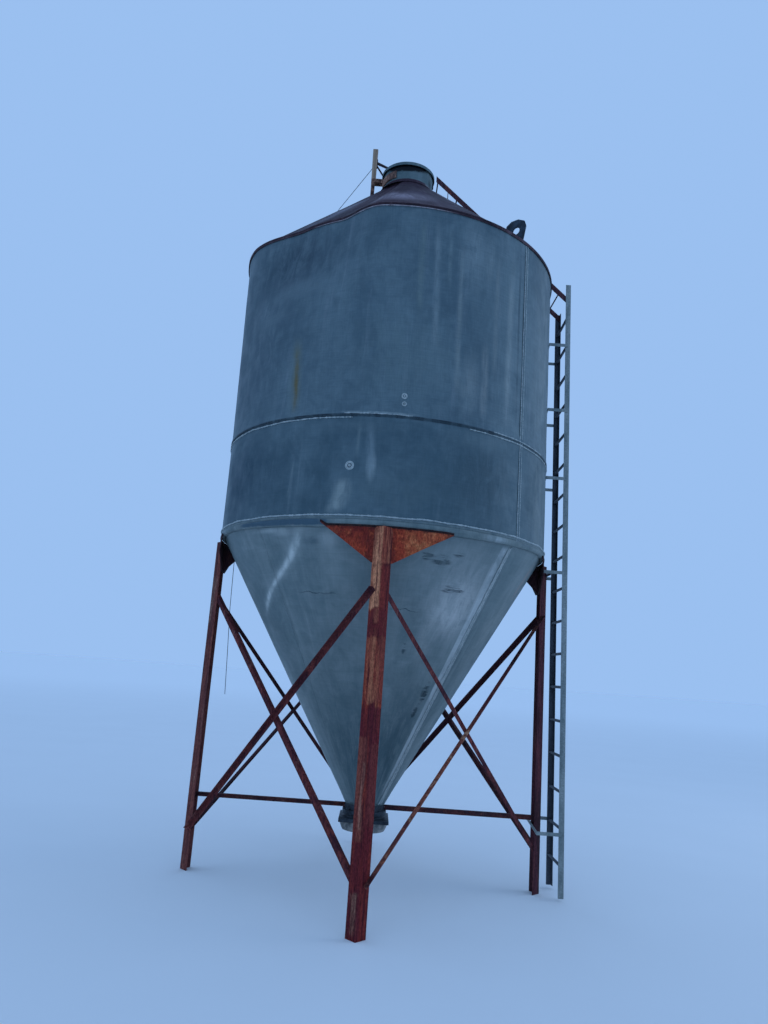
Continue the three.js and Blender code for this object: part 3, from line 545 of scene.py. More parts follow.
def rust(name, tones, tan_amount=0.4, drawn=(1.0, 1.0, 0.16), patches=(), grit=0.85):
    """tones is dark, base, bright and tan. A patch of another tone runs from one x to another about
    the axis and from one height to another, and ends with its colour and strength. grit is the
    strength of the small dark specks."""
    dark, base, bright, tan = (tint(code) for code in tones)
    finish, tree = start_finish(name)
    where = object_place(tree)
    x, _, z = split(where)
    long = stretch(where, *drawn)
    broad = cloud(long, 7.0, 5.0, 0.65, 0.3)
    colour = mix(span(broad, 0.32, 0.56), dark, base)
    bloom = cloud(long, 16.0, 6.0, 0.7, 0.6)
    colour = mix(span(bloom, 0.5, 0.7), colour, bright)
    shifted = add("ShaderNodeVectorMath", {0: long, 1: (3.7, 1.9, 0.8)}, operation="ADD")
    held = cloud(shifted, 11.0, 6.0, 0.72, 0.2)
    colour = mix(span(held, 0.54, 0.66, 0.0, tan_amount), colour, tan)
    edge = (bloom - 0.5) * 0.12
    worn = span(held, 0.38, 0.56, 0.25, 1.0)
    for left, right, low, high, code, strength in patches:
        inside = within(x + edge, AXIS.x + left, AXIS.x + right, PATCH_BLUR)
        inside = inside * within(z + edge, low, high, PATCH_BLUR)
        colour = mix(inside * worn * strength, colour, tint(code))
    thin = cloud(stretch(long, 1.0, 1.0, 0.5), 60.0, 4.0, 0.7, 0.1)
    colour = mix(span(thin, 0.50, 0.62, 0.0, grit), colour, dark)
    scale = cloud(stretch(where, 1.0, 1.0, 0.5), 85.0, 5.0, 0.78)
    colour = dimmed(colour, span(scale, 0.3, 0.7, 0.5, 1.5))
    rough = span(broad, 0.3, 0.7, 0.72, 0.9)
    end_finish(colour, rough, bloom * 0.7 + scale * 0.3, 0.0016, 0.0, 0.12)
    return finish


# %% Rust on the legs
STREAKS = (1.0, 1.0, 0.12)
# Darker than the front and left legs' rust: partly the rust's own tone, partly painted shade for the back
# leg.
leg_rust = rust("leg rust", ("33191f", "522a32", "70393a", "7a5550"), 0.4, STREAKS)
left_leg_rust = rust("left leg rust", ("4a2529", "74403a", "8e5040", "96705f"), 0.8, STREAKS)
front_leg_rust = rust("front leg rust", ("4a181e", "82302a", "a8442c", "b86c48"), 0.6, STREAKS, [
    (-0.12, 0.12, 0.0, 0.34, "561c28", 0.8),
    (-0.12, 0.12, 0.34, 1.56, "601f27", 0.85),
    (-0.12, 0.012, 1.60, 2.06, "a1533c", 0.7),
    (-0.034, 0.004, 1.58, 2.12, "b87150", 0.6),
    (0.02, 0.12, 1.60, 2.06, "8f4a3a", 0.5),
    (-0.12, 0.12, 2.06, 2.27, "6b2628", 0.8),
    (-0.025, 0.0, 2.16, 2.27, "b0654a", 0.6),
    (0.0, 0.12, 2.27, 2.59, "7c302b", 0.7),
    (-0.12, -0.001, 2.28, 2.9, "d48a64", 0.95),
    (0.001, 0.12, 2.61, 2.9, "ad6448", 0.8),
    (-0.058, -0.048, 2.3, 2.88, "5a2a26", 0.7),
    (-0.012, -0.006, 2.3, 2.88, "7a4434", 0.6),
    (-0.12, 0.12, 2.592, 2.602, "3c1c1e", 0.8),
    (-0.12, -0.004, 0.64, 1.34, "8e4c3c", 0.75),
    (-0.046, -0.018, 0.72, 1.16, "a87662", 0.6),
    (0.012, 0.12, 0.74, 1.30, "7a3a34", 0.6),
    (-0.048, -0.012, 0.04, 0.30, "9c7660", 0.5),
])
print("leg rust made")

# %% Rust on plates, braces and the roof ladder
BRACE_STREAKS, ANY = (0.7, 0.7, 0.4), 2.5
head_rust = rust("front head plate rust", ("6a2320", "a23f2b", "be5836", "c07c50"), 0.7, (0.8, 1.0, 0.7), [
    (-0.6, -0.36, 2.5, 2.9, "86402f", 0.6),
    # Painted shade beside the leg, on both sides: this line and the next.
    (-0.13, -0.06, 2.5, 2.9, "5a2422", 0.75),
    (0.06, 0.10, 2.5, 2.9, "702c26", 0.7),
    (0.16, 0.6, 2.5, 2.9, "b8653f", 0.5),
    # Painted shade under the knuckle along the top edge.
    (-0.6, 0.6, 2.882, 3.0, "4a2322", 0.75),
    (-0.6, -0.45, 2.5, 3.0, "3a1e20", 0.85),
    # Painted shade at the right end, under the knuckle.
    (0.49, 0.6, 2.5, 3.0, "4a2824", 0.8),
], 0.4)
# A darker copy of the plate rust as painted shade, for the plates at the sides and back.
head_shaded_rust = rust("head plate painted shade", ("2a1c22", "42292c", "5f362e", "6b4a3c"), 0.4, (1.0, 1.0, 0.4))
# The bead along each plate's top edge is dark as painted shadow under the knuckle.
head_edge_shadow = rust("head edge painted shadow", ("211519", "33201f", "53302a", "6d4a3c"), 0.25, (0.4, 0.4, 1.0))
brace_rust = rust("brace rust", ("3f1f28", "64302f", "86403a", "94655a"), 0.45, BRACE_STREAKS)
brace_tan_rust = rust("worn brace rust", ("5e3232", "8a4e40", "a8634a", "c09070"), 0.9, BRACE_STREAKS, [
    (-ANY, ANY, 1.95, 2.6, "27161f", 0.98),
    (-ANY, ANY, 1.45, 1.95, "5a272d", 0.9),
    (-ANY, ANY, 0.0, 0.43, "3f2228", 0.95),
])
# A darker copy of the brace rust as painted shade, for the braces on the back faces.
brace_shaded_rust = rust("shaded brace rust", ("2a181e", "432429", "5c302c", "6b4a40"), 0.3, BRACE_STREAKS)
strut_rust = rust("strut rust", ("35232c", "58312f", "74392c", "745a54"), 0.3, (0.5, 0.5, 1.0))
roof_ladder_rust = rust("roof ladder rust", ("35262f", "55353a", "743c33", "6d6066"), 0.3)
bracket_rust = rust("hinge bracket rust", ("6e4c42", "a07a68", "c49a80", "e0b8a0"), 0.6, (1.0, 1.0, 1.0), [
    (-0.6, -0.285, 6.0, 7.4, "241a20", 0.9),
    (-0.205, 0.0, 6.0, 7.4, "2a2228", 0.85),
])
print("rust finishes made")

# %% [markdown]
# ## Other finishes
# The ladder's zinc and a darker copy of it that paints shade, black outlet steel, grey timber with
# drawn-out grain, pale sealant and the like are plainer: two tones and a fine grain. Each reads Object
# coordinates.

# %% Plain steel, timber and sealant
def plain(name, dark, light, scale, drawn, rough, relief, metal, gloss=0.3):
    finish, tree = start_finish(name)
    where = object_place(tree)
    broad = cloud(stretch(where, *drawn), scale, 5.0, 0.65, 0.3)
    fine = cloud(where, scale * 9.0, 4.0, 0.7)
    colour = mix(span(broad, 0.3, 0.68), tint(dark), tint(light))
    colour = dimmed(colour, span(fine, 0.25, 0.75, 0.72, 1.25))
    rough = span(fine, 0.3, 0.7, rough - 0.08, rough + 0.08)
    end_finish(colour, rough, broad + fine * 0.4, relief, metal, gloss)
    return finish


LONG, EVEN = (1.0, 1.0, 0.3), (1.0, 1.0, 1.0)
ladder_zinc = plain("ladder zinc", "6c7878", "939a98", 9.0, LONG, 0.55, 0.0005, 0.2)
# A darker copy of the ladder zinc as painted shade, for the rungs and the far rail.
ladder_shaded_zinc = plain("ladder shaded zinc", "30373f", "4f545d", 9.0, LONG, 0.6, 0.0005, 0.2)
stay_steel = plain("stay steel", "1e1a22", "4a3434", 20.0, EVEN, 0.6, 0.0006, 0.0, 0.2)
hopper_seam_zinc = plain("hopper seam zinc", "7f8a8a", "a9aeab", 12.0, LONG, 0.6, 0.0005, 0.2)
outlet_black = plain("outlet steel", "161a22", "3a434b", 14.0, EVEN, 0.55, 0.0006, 0.25)
lug_black = plain("lug steel", "161f29", "354350", 14.0, EVEN, 0.55, 0.0006, 0.25)
timber = plain("grey timber", "84705f", "b59a84", 30.0, (1.0, 1.0, 0.05), 0.85, 0.0012, 0.0)
sealant = plain("seam sealant", "8d9b9c", "b4bab8", 25.0, EVEN, 0.7, 0.0005, 0.0)
seam_steel = plain("seam strip steel", "4a5f68", "6a7a7c", 12.0, LONG, 0.6, 0.0005, 0.2)
boot_zinc = plain("boot zinc", "595d5c", "a19c96", 12.0, EVEN, 0.6, 0.0005, 0.2)
plug_zinc = plain("plug zinc", "8a9696", "b4bbb8", 40.0, EVEN, 0.6, 0.0005, 0.2)
plug_dark = plain("plug shadow", "2c3a42", "40505a", 40.0, EVEN, 0.7, 0.0005, 0.1)
wire_steel = plain("wire steel", "3a3d44", "6a6f74", 60.0, EVEN, 0.5, 0.0002, 0.4)

# %% [markdown]
# ## Pull wire
# A thin wire is tied to the opener's post. It runs straight down over the eave and then hangs against
# the back left of the drum, to be pulled from the ground. It is a fixed length of something flexible,
# so it is a tube on one smooth line, and it bends between the lid and the drum.

# %% Wire
WIRE_DIAMETER, WIRE_SIDES = 0.006, 10
WIRE_AZIMUTH, WIRE_RADIUS = -106.0, 1.5364
WIRE_TIE = AXIS + Vector((-0.386, 0.032, 7.128))
WIRE_ROUTE = [
    (WIRE_RADIUS, Z_EAVE + 0.0045), (WIRE_RADIUS, Z_EAVE - 0.06), (WIRE_RADIUS + 0.004, 4.2),
    (1.5496, 2.88), (1.5496, 2.79), (1.540, 2.32), (1.516, 1.925), (1.494, 1.5),
]


def smooth_line(corners, step, rounds):
    """Points along a polyline, with its corners cut again and again until they are round."""
    for _ in range(rounds):
        cut = [corners[0]]
        for a, b in zip(corners, corners[1:]):
            reach = min(0.25 * (b - a).length, step)
            cut.append(a + (b - a).normalized() * reach)
            cut.append(b - (b - a).normalized() * reach)
        cut.append(corners[-1])
        corners = cut
    return [p for i, p in enumerate(corners) if i == 0 or (p - corners[i - 1]).length > 1e-5]


def tube(line, radius, sides):
    side_way = Vector((1.0, 0.0, 0.0))
    turns = [2 * math.pi * k / sides for k in range(sides)]
    rings = []
    for i, point in enumerate(line):
        ahead = (line[min(i + 1, len(line) - 1)] - line[max(i - 1, 0)]).normalized()
        side_way = (side_way - ahead * side_way.dot(ahead)).normalized()
        other = ahead.cross(side_way)
        rings.append([point + (side_way * math.cos(t) + other * math.sin(t)) * radius for t in turns])
    return loft(rings)


# %% The drawn wire
wire_corners = [WIRE_TIE, *(around(radius, WIRE_AZIMUTH, z) for radius, z in WIRE_ROUTE)]
wire_line = smooth_line(wire_corners, 0.03, 3)
wire_length = sum((b - a).length for a, b in zip(wire_line, wire_line[1:]))
wire_mesh = from_bmesh("opener_wire", tube(wire_line, WIRE_DIAMETER / 2, WIRE_SIDES))
wire_mesh.materials.append(wire_steel)
wire_mesh.shade_smooth()
wire = show("opener_wire", wire_mesh)
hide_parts("pull_wire")
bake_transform(wire)
print("wire", round(wire_length, 2), "m in", len(wire_line), "points")

# %% [markdown]
# ## Rolled sheet
# The drum, the hopper and the roof are all sheets rolled to a circle whose radius changes evenly with
# height. One node tree bends a flat grid into such a sheet. It buckles the sheet inward by a few
# millimetres, flares its foot where it laps the next one, and presses in the dent at the eave.

# %% Geometry helpers
def start_tree(name, **inputs):
    """inputs gives the tree's input names for each kind of value."""
    tree = bpy.data.node_groups.new(name, "GeometryNodeTree")
    tree.interface.new_socket("Geometry", in_out="OUTPUT", socket_type="NodeSocketGeometry")
    for kind, labels in {"Geometry": "Geometry", **inputs}.items():
        for label in labels.split(", "):
            tree.interface.new_socket(label, in_out="INPUT", socket_type="NodeSocket" + kind)
    given = tree.nodes.new("NodeGroupInput").outputs
    return tree, {socket.name: Flow(socket) for socket in given if socket.name}


def raised(geometry, height):
    return add("GeometryNodeTransform", {"Geometry": geometry, "Translation": combine(0.0, 0.0, height)})


def joined(parts):
    node = parts[0].tree.nodes.new("GeometryNodeJoinGeometry")
    for part in parts:
        part.tree.links.new(part.socket, node.inputs[0])
    return Flow(node.outputs[0])


def end_tree(geometry, finish):
    real = add("GeometryNodeRealizeInstances", {0: geometry})
    coated = add("GeometryNodeSetMaterial", {"Geometry": real, "Material": finish})
    add("NodeGroupOutput", {0: coated})
    return geometry.tree


def run_tree(tree, values, source=None):
    """Runs a node tree on a mesh, or on nothing, and hands back the plain mesh that it makes."""
    carrier = show("carrier", source or bpy.data.meshes.new("nothing"))
    modifier = carrier.modifiers.new("nodes", "NODES")
    modifier.node_group = tree
    for item in tree.interface.items_tree:
        if item.in_out == "INPUT" and item.name in values:
            modifier[item.identifier] = values[item.name]
    graph = bpy.context.evaluated_depsgraph_get()
    made = bpy.data.meshes.new_from_object(carrier.evaluated_get(graph), depsgraph=graph)
    bpy.data.objects.remove(carrier)
    return made


# %% The dent
DENT_DEPTH, DENT_HEIGHT, SWELL = 0.165, 1.1, 0.022
DENT_LEFT, DENT_RIGHT = (-67.0, -41.0), (-7.0, -25.0)
SWELL_LEFT, SWELL_RIGHT = (-102.0, -82.0), (-60.0, -74.0)
SWELL_FOOT = Z_BAND_SEAM + 0.02
FLARE_TOP, FLARE_FOOT = 0.048, 0.026


def share(value, start, end):
    return min(1.0, max(0.0, (value - start) / (end - start)))


def eased(value, start, end):
    t = share(value, start, end)
    return t * t * (3 - 2 * t)


def pressed_in(azimuth, z, reach):
    """How far the dent moves the sheet inward. reach is 0 at the neck and 1 at the drum."""
    side = eased(azimuth, *DENT_LEFT) * eased(azimuth, *DENT_RIGHT)
    dent = side * eased(z, Z_EAVE - DENT_HEIGHT, Z_EAVE) * math.sqrt(reach)
    up = share(z, SWELL_FOOT, Z_EAVE)
    swollen = eased(azimuth, *SWELL_LEFT) * eased(azimuth, *SWELL_RIGHT) * up * reach ** 2
    return DENT_DEPTH * dent - SWELL * swollen


# %% The rolled sheet's tree
def rolled_sheet_tree():
    tree, given = start_tree(
        "rolled sheet", Int="Columns, Rows", Material="Finish",
        Float="Radius Low, Radius High, Z Low, Z High, From, Sweep, Flare, Buckle, Folds, Seed, Pressed",
    )
    grid = add("GeometryNodeMeshGrid", {
        "Size X": 1.0, "Size Y": 1.0, "Vertices X": given["Columns"], "Vertices Y": given["Rows"],
    })
    grid_x, grid_y, _ = split(add("GeometryNodeInputPosition", tree=tree))
    up = grid_y + 0.5
    azimuth = given["Sweep"] * (grid_x + 0.5) + given["From"]
    turn = calc("RADIANS", azimuth)
    height = (given["Z High"] - given["Z Low"]) * up + given["Z Low"]
    grow = given["Radius High"] - given["Radius Low"]
    ideal = grow * up + given["Radius Low"]
    arc = turn * (grow * 0.5 + given["Radius Low"])
    calm = within(up, 0.03, 0.97, 0.03)
    ripple = cloud(combine(arc, height, given["Seed"]), 1.7, 2.0, 0.5)
    crease = cloud(stretch(combine(azimuth * 0.12, height), 1.0, 0.3), 1.0, 2.0, 0.5)
    flare = span(height - given["Z Low"], FLARE_TOP, FLARE_FOOT) * given["Flare"]
    reach = calc("MAXIMUM", (ideal - NECK_RADIUS) / (SHELL_RADIUS - NECK_RADIUS), 0.0)
    side = span(azimuth, *DENT_LEFT) * span(azimuth, *DENT_RIGHT)
    dent = side * span(height, Z_EAVE - DENT_HEIGHT, Z_EAVE) * calc("SQRT", reach)
    rise = calc("MAXIMUM", (height - SWELL_FOOT) / (Z_EAVE - SWELL_FOOT), 0.0)
    cheek = span(azimuth, *SWELL_LEFT) * span(azimuth, *SWELL_RIGHT)
    swollen = cheek * calc("MINIMUM", rise, 1.0) * (reach * reach)
    press = (dent * DENT_DEPTH - swollen * SWELL) * given["Pressed"]
    inward = ripple * calm * given["Buckle"] + crease * calm * given["Folds"] + press
    radius = ideal + flare - inward
    x = radius * calc("SINE", turn) + AXIS.x
    y = radius * calc("COSINE", turn) * -1.0
    kept = add("GeometryNodeStoreNamedAttribute", {
        "Geometry": grid, "Name": "wall", "Value": combine(azimuth, height, arc),
    }, data_type="FLOAT_VECTOR", domain="POINT")
    bent = add("GeometryNodeSetPosition", {"Geometry": kept, "Position": combine(x, y, height)})
    return end_tree(bent, given["Finish"])


rolled_sheet = rolled_sheet_tree()
print("nodes in the rolled sheet", len(rolled_sheet.nodes))

# %% One rolled sheet
SHEET_WALL = 0.0025
SHEET_SEED = 4.0


def sheet_piece(
    name, finish, node, sizes, start, sweep, rows, flare=0.0, buckle=0.0, pressed=0.0, folds=0.0,
):
    """sizes is (radius low, radius high, z low, z high) of the outside. A column is one degree wide."""
    made = run_tree(rolled_sheet, {
        "Radius Low": sizes[0], "Radius High": sizes[1], "Z Low": sizes[2], "Z High": sizes[3],
        "From": float(start), "Sweep": float(sweep), "Columns": sweep + 1, "Rows": rows + 1,
        "Flare": flare, "Buckle": buckle, "Folds": folds, "Seed": SHEET_SEED, "Pressed": pressed,
        "Finish": finish,
    })
    piece = place(name, made, finish, SILO, (node,))
    thick = piece.modifiers.new("wall", "SOLIDIFY")
    thick.thickness = SHEET_WALL
    thick.offset = -1.0


# %% [markdown]
# ## Drum, hopper and roof
# The drum's upper band laps over the lower one, and a painted shadow line runs all round under its lip.
# The sheets meet in two upright seams, one of which shows at the right. The hopper is a cone of the same
# sheet.

# %% Sheets
ROOF_SLOPE = math.radians(41.3)
ROOF_FOOT_RADIUS, ROOF_TOP_RADIUS = 1.533, NECK_RADIUS - 0.004
ROOF_LIFT = 0.006 / math.cos(ROOF_SLOPE)
SHELL_SEAM, HOPPER_SEAM = 47.0, 46.0
HOPPER_TUCK = 0.046  # how far the hopper's sheet runs up inside the knuckle


def roof_z(radius):
    return Z_EAVE + (SHELL_RADIUS - radius) * math.tan(ROOF_SLOPE) + ROOF_LIFT


for side, start in (("front", SHELL_SEAM - 180), ("back", SHELL_SEAM)):
    sheet_piece(
        f"drum_upper_{side}", shell_upper_zinc, f"shell_upper_{side}",
        (SHELL_RADIUS, SHELL_RADIUS, Z_BAND_SEAM - 0.03, Z_EAVE), start, 180, 74,
        flare=0.0048, buckle=0.009, pressed=1.0,
    )
    sheet_piece(
        f"drum_lower_{side}", shell_lower_zinc, f"shell_lower_{side}",
        (SHELL_RADIUS, SHELL_RADIUS, Z_RING_TOP - 0.004, Z_BAND_SEAM), start, 180, 34, buckle=0.006,
    )
    sheet_piece(
        f"roof_sheet_{side}", roof_rust, f"roof_{side}",
        (ROOF_FOOT_RADIUS, ROOF_TOP_RADIUS, roof_z(ROOF_FOOT_RADIUS) - 0.002, roof_z(ROOF_TOP_RADIUS)),
        start, 180, 40, buckle=0.006, pressed=1.0, folds=0.016,
    )
tucked_radius, tucked_z = HOPPER_TOP_RADIUS + HOPPER_GROW * HOPPER_TUCK, Z_RING_BOTTOM + HOPPER_TUCK
for number, turn in enumerate((-90, 0, 90, -180), 1):
    sheet_piece(
        f"hopper_sheet_{number}", hopper_zinc, f"hopper_panel_{number}",
        (HOPPER_FOOT_RADIUS, tucked_radius, Z_OUTLET, tucked_z), HOPPER_SEAM + turn, 90, 72, buckle=0.007,
    )
print("rolled sheets made")

# %% [markdown]
# ## Turned rings
# The knuckle, the eave's rim, the fill neck and the lid are round all the way, so an outline of radius
# and height is spun about the axis. The wall attribute is kept per face corner, because azimuth jumps
# from 180 to -180 at the back.

# %% Spinning an outline
def turned(outline, columns, pressed=False, closed=True):
    """Spins (radius, z) points. A closed outline is a ring, an open one starts and ends on the axis."""
    shape = bmesh.new()
    layer = shape.loops.layers.float_vector.new("wall")
    edges = [-180.0 + 360.0 * i / columns for i in range(columns + 1)]
    rows = []
    for azimuth in edges[:-1]:
        column = []
        for radius, z in outline:
            reach = max(0.0, (radius - NECK_RADIUS) / (SHELL_RADIUS - NECK_RADIUS))
            real = radius - pressed_in(azimuth, z, reach) if pressed else radius
            column.append(shape.verts.new(around(real, azimuth, z)))
        rows.append(column)
    count = len(outline)
    for i, (left, right) in enumerate(zip(edges, edges[1:])):
        first, second = rows[i], rows[(i + 1) % columns]
        for j in range(count if closed else count - 1):
            k = (j + 1) % count
            face = shape.faces.new((first[j], second[j], second[k], first[k]))
            for loop, azimuth, (radius, z) in zip(
                face.loops, (left, right, right, left), (outline[j], outline[j], outline[k], outline[k]),
            ):
                flat = around(radius, azimuth, z) - AXIS
                arc = math.radians(azimuth) * outline[0][0]
                loop[layer] = Vector((azimuth, z, arc) if closed else (azimuth, flat.y, flat.x))
    return merged(shape)


def rounded(outline, size, steps=3):
    """Cuts each corner of a closed outline into a small round."""
    result = []
    for i in range(len(outline)):
        here = Vector(outline[i])
        before = Vector(outline[i - 1]) - here
        after = Vector(outline[(i + 1) % len(outline)]) - here
        reach = min(size, before.length * 0.45, after.length * 0.45)
        start = here + before.normalized() * reach
        end = here + after.normalized() * reach
        for k in range(steps + 1):
            t = k / steps
            result.append(tuple(start * (1 - t) ** 2 + here * 2 * t * (1 - t) + end * t ** 2))
    return result


# %% [markdown]
# The knuckle's foot is turned in round the hopper's top. It lies lowest in front and rises a few
# centimetres towards the sides and the back, as the photograph shows.

# %% Knuckle, eave and neck
KNUCKLE_WALL, KNUCKLE_LEAN, KNUCKLE_DEPTH, KNUCKLE_RISE = 1.527, 0.017, 0.06, 0.034
knuckle = [(1.5165, Z_RING_TOP), (1.5262, Z_RING_TOP)]
for t in (i / 8 for i in range(9)):
    knuckle.append((KNUCKLE_WALL - KNUCKLE_LEAN * t ** 2.2, Z_RING_TOP - 0.006 - (KNUCKLE_DEPTH - 0.006) * t))
knuckle += [(1.505, 2.8845), (1.466, 2.886), (1.466, 2.890), (1.500, 2.890), (1.512, 2.92)]
knuckle_shape = turned(knuckle, 360)
for vert in knuckle_shape.verts:
    azimuth = abs(math.degrees(math.atan2(vert.co.x - AXIS.x, AXIS.y - vert.co.y)))
    down = (Z_RING_TOP - vert.co.z) / (Z_RING_TOP - Z_RING_BOTTOM)
    vert.co.z += KNUCKLE_RISE * eased(azimuth, 15.0, 80.0) * down
place("knuckle", knuckle_shape, knuckle_zinc, SILO, ("junction_ring",))

eave_outline = rounded([
    (1.5252, Z_EAVE - 0.026), (1.5335, Z_EAVE - 0.027), (1.5345, Z_EAVE + 0.002),
    (1.5300, Z_EAVE + 0.0065), (1.5252, Z_EAVE + 0.004),
], 0.002, 2)
place("eave_rim", turned(eave_outline, 360, True), eave_rust)

Z_NECK_TOP, Z_NECK_BEAD, NECK_BEAD, NECK_WALL = 7.0009, 6.95, 0.0035, 0.0028
neck_outline = rounded([
    (NECK_RADIUS - NECK_WALL, roof_z(NECK_RADIUS) - 0.004), (NECK_RADIUS, roof_z(NECK_RADIUS) - 0.004),
    (NECK_RADIUS, Z_NECK_BEAD - 0.01), (NECK_RADIUS + NECK_BEAD, Z_NECK_BEAD - 0.004),
    (NECK_RADIUS + NECK_BEAD, Z_NECK_BEAD + 0.004), (NECK_RADIUS, Z_NECK_BEAD + 0.01),
    (NECK_RADIUS, Z_NECK_TOP), (NECK_RADIUS - NECK_WALL, Z_NECK_TOP),
], 0.0012, 2)
place("neck_tube", turned(neck_outline, 160), neck_zinc, SILO, ("fill_neck",))
print("knuckle, eave and neck made")

# %% The latch and the neck's foot
LATCH = [(0.257, -0.012), (0.272, -0.012), (0.272, 0.012), (0.257, 0.012)]
LATCH_MIDDLE = 0.2645
LATCH_STEPS = [(6.888, 0.8), (6.892, 1.0), (6.925, 1.0), (6.944, 0.9), (6.952, 0.55)]
latch_rows = []
for z, shrink in LATCH_STEPS:
    corners = []
    for x, y in LATCH:
        out = (x - LATCH_MIDDLE) * (1.0 if x < LATCH_MIDDLE else shrink)
        corners.append((LATCH_MIDDLE + out, y * shrink))
    latch_rows.append([AXIS + Vector((x, y, z)) for x, y in rounded(corners, 0.003, 2)])
place("neck_latch", loft(latch_rows), lug_black)

FLANGE = [
    (0.0, 0.022), (0.003, 0.022 + 0.003 * math.tan(ROOF_SLOPE)), (0.008, 0.006),
    (0.045, 0.003), (0.045, 0.0), (0.0, 0.0),
]
flange_outline = [(NECK_RADIUS + out, roof_z(NECK_RADIUS + out) + lift) for out, lift in FLANGE]
place("neck_foot", turned(rounded(flange_outline, 0.001, 2), 160), roof_rust)

# %% [markdown]
# The lid is a dished sheet with a deep rim. Its crown is pressed up in two steps, which a spun outline
# gives directly, and its underside follows the top at the sheet's thickness.

# %% Lid
LID_TOP = [
    (0.0, 7.045), (0.05, 7.0446), (0.11, 7.0426), (0.166, 7.0325), (0.172, 7.0312), (0.225, 7.0172),
    (0.262, 7.0068), (0.274, 7.0030), (0.2786, 6.9985), (0.280, 6.992),
]
LID_RIM = [
    (0.280, 6.972), (0.2808, 6.9675), (0.2798, 6.966), (0.2772, 6.9665), (0.2766, 6.970), (0.2766, 6.990),
]
lid_under = [(r * 0.985, z - 0.003) for r, z in reversed(LID_TOP[:-1])]
lid_shape = turned(LID_TOP + LID_RIM + lid_under, 160, closed=False)
place("lid_dish", lid_shape, lid_zinc, LID_BODY, ("lid",))
print("lid", 2 * LID_TOP[-1][0], "m across")

# %% [markdown]
# ## Bars of angle iron
# Legs, braces and ladder rails are rolled angle iron, which never has a sharp corner: its toes are
# round on the inside, and a fillet fills the root. So the section is drawn with those rounds and carried
# along the bar, with a little waviness from years of load. Blender draws that from the clock unless a
# seed is set, so one is set here.

# %% Angle iron
WAVE_SEED = 1795703362
noise.seed_set(WAVE_SEED)


def arc_points(centre, radius, start, end, steps):
    turns = [math.radians(start + (end - start) * i / steps) for i in range(steps + 1)]
    return [(centre[0] + radius * math.cos(t), centre[1] + radius * math.sin(t)) for t in turns]


def angle_outline(size, thick):
    """The heel is at (0, 0) and the flanges run along both axes."""
    toe, root, heel = thick * 0.5, thick * 0.8, thick * 0.18
    inner = thick + root
    return [
        *arc_points((heel, heel), heel, 180, 270, 2), (size, 0.0),
        *arc_points((size - toe, thick - toe), toe, 0, 90, 3),
        *arc_points((inner, inner), root, 270, 180, 3),
        *arc_points((thick - toe, size - toe), toe, 0, 90, 3), (0.0, size),
    ]


def carried(outline, start, end, side, pieces=24, bend=0.0006):
    """A straight bar: the outline's first axis points to side, its second to along x side."""
    along = (end - start).normalized()
    first = (side - along * side.dot(along)).normalized()
    second = along.cross(first)
    rows = []
    for i in range(pieces + 1):
        middle = start.lerp(end, i / pieces)
        sway = noise.noise_vector(middle * 2.3) * bend if 0 < i < pieces else Vector()
        rows.append([middle + sway + first * u + second * v for u, v in outline])
    return loft(rows)


# %% [markdown]
# ## Legs and braces
# The four legs stand with their heels outward. Two braces cross on each face: one runs outside the
# legs' flanges and one inside. They are drawn once for the front and turned to the other sides.

# %% Legs
SIDES = ("front", "right", "back", "left")
LEG_SIZE, LEG_THICK, LEG_HEEL = 0.102, 0.0065, 1.588
LEG_TOP = {"front": 2.894, "right": 2.909, "back": 2.925, "left": 2.925}
LEG_FINISH = {"front": front_leg_rust, "left": left_leg_rust}
BRACE_SIZE, BRACE_THICK = 0.041, 0.005
Z_BRACE_TOP, Z_BRACE_BOTTOM, BRACE_INSET = 2.420, 0.337, 0.058
HALF = math.sqrt(0.5)
TOUCH = 0.0003


def quarter_turn(quarter):
    return Matrix.Rotation(math.radians(90 * quarter), 4, "Z")


def turned_round(shape, quarter):
    bmesh.ops.transform(shape, matrix=Matrix.Translation(AXIS) @ quarter_turn(quarter), verts=shape.verts)
    return shape


def leg_shape(top):
    foot, head = Vector((0.0, -LEG_HEEL, 0.0)), Vector((0.0, -LEG_HEEL, top))
    return carried(angle_outline(LEG_SIZE, LEG_THICK), foot, head, Vector((HALF, HALF, 0.0)), 28)


# %% Braces
def brace_line(outside):
    """Both ends of a brace's heel side on the front right face, and the way its flange stands."""
    along, outward = Vector((HALF, HALF, 0.0)), Vector((HALF, -HALF, 0.0))
    heel = Vector((0.0, -LEG_HEEL, 0.0))
    near, far = heel + along * BRACE_INSET, heel + along * (LEG_HEEL * math.sqrt(2) - BRACE_INSET)
    top, bottom = (far, near) if outside else (near, far)
    lift = outward * (TOUCH if outside else -LEG_THICK - TOUCH)
    high = top + lift + Vector((0.0, 0.0, Z_BRACE_TOP))
    low = bottom + lift + Vector((0.0, 0.0, Z_BRACE_BOTTOM))
    return high, low, outward if outside else -outward


def brace_shape(outside):
    high, low, stand = brace_line(outside)
    outline = [(u, BRACE_SIZE / 2 - v) for u, v in reversed(angle_outline(BRACE_SIZE, BRACE_THICK))]
    return carried(outline, high, low, stand, 28, 0.0008)


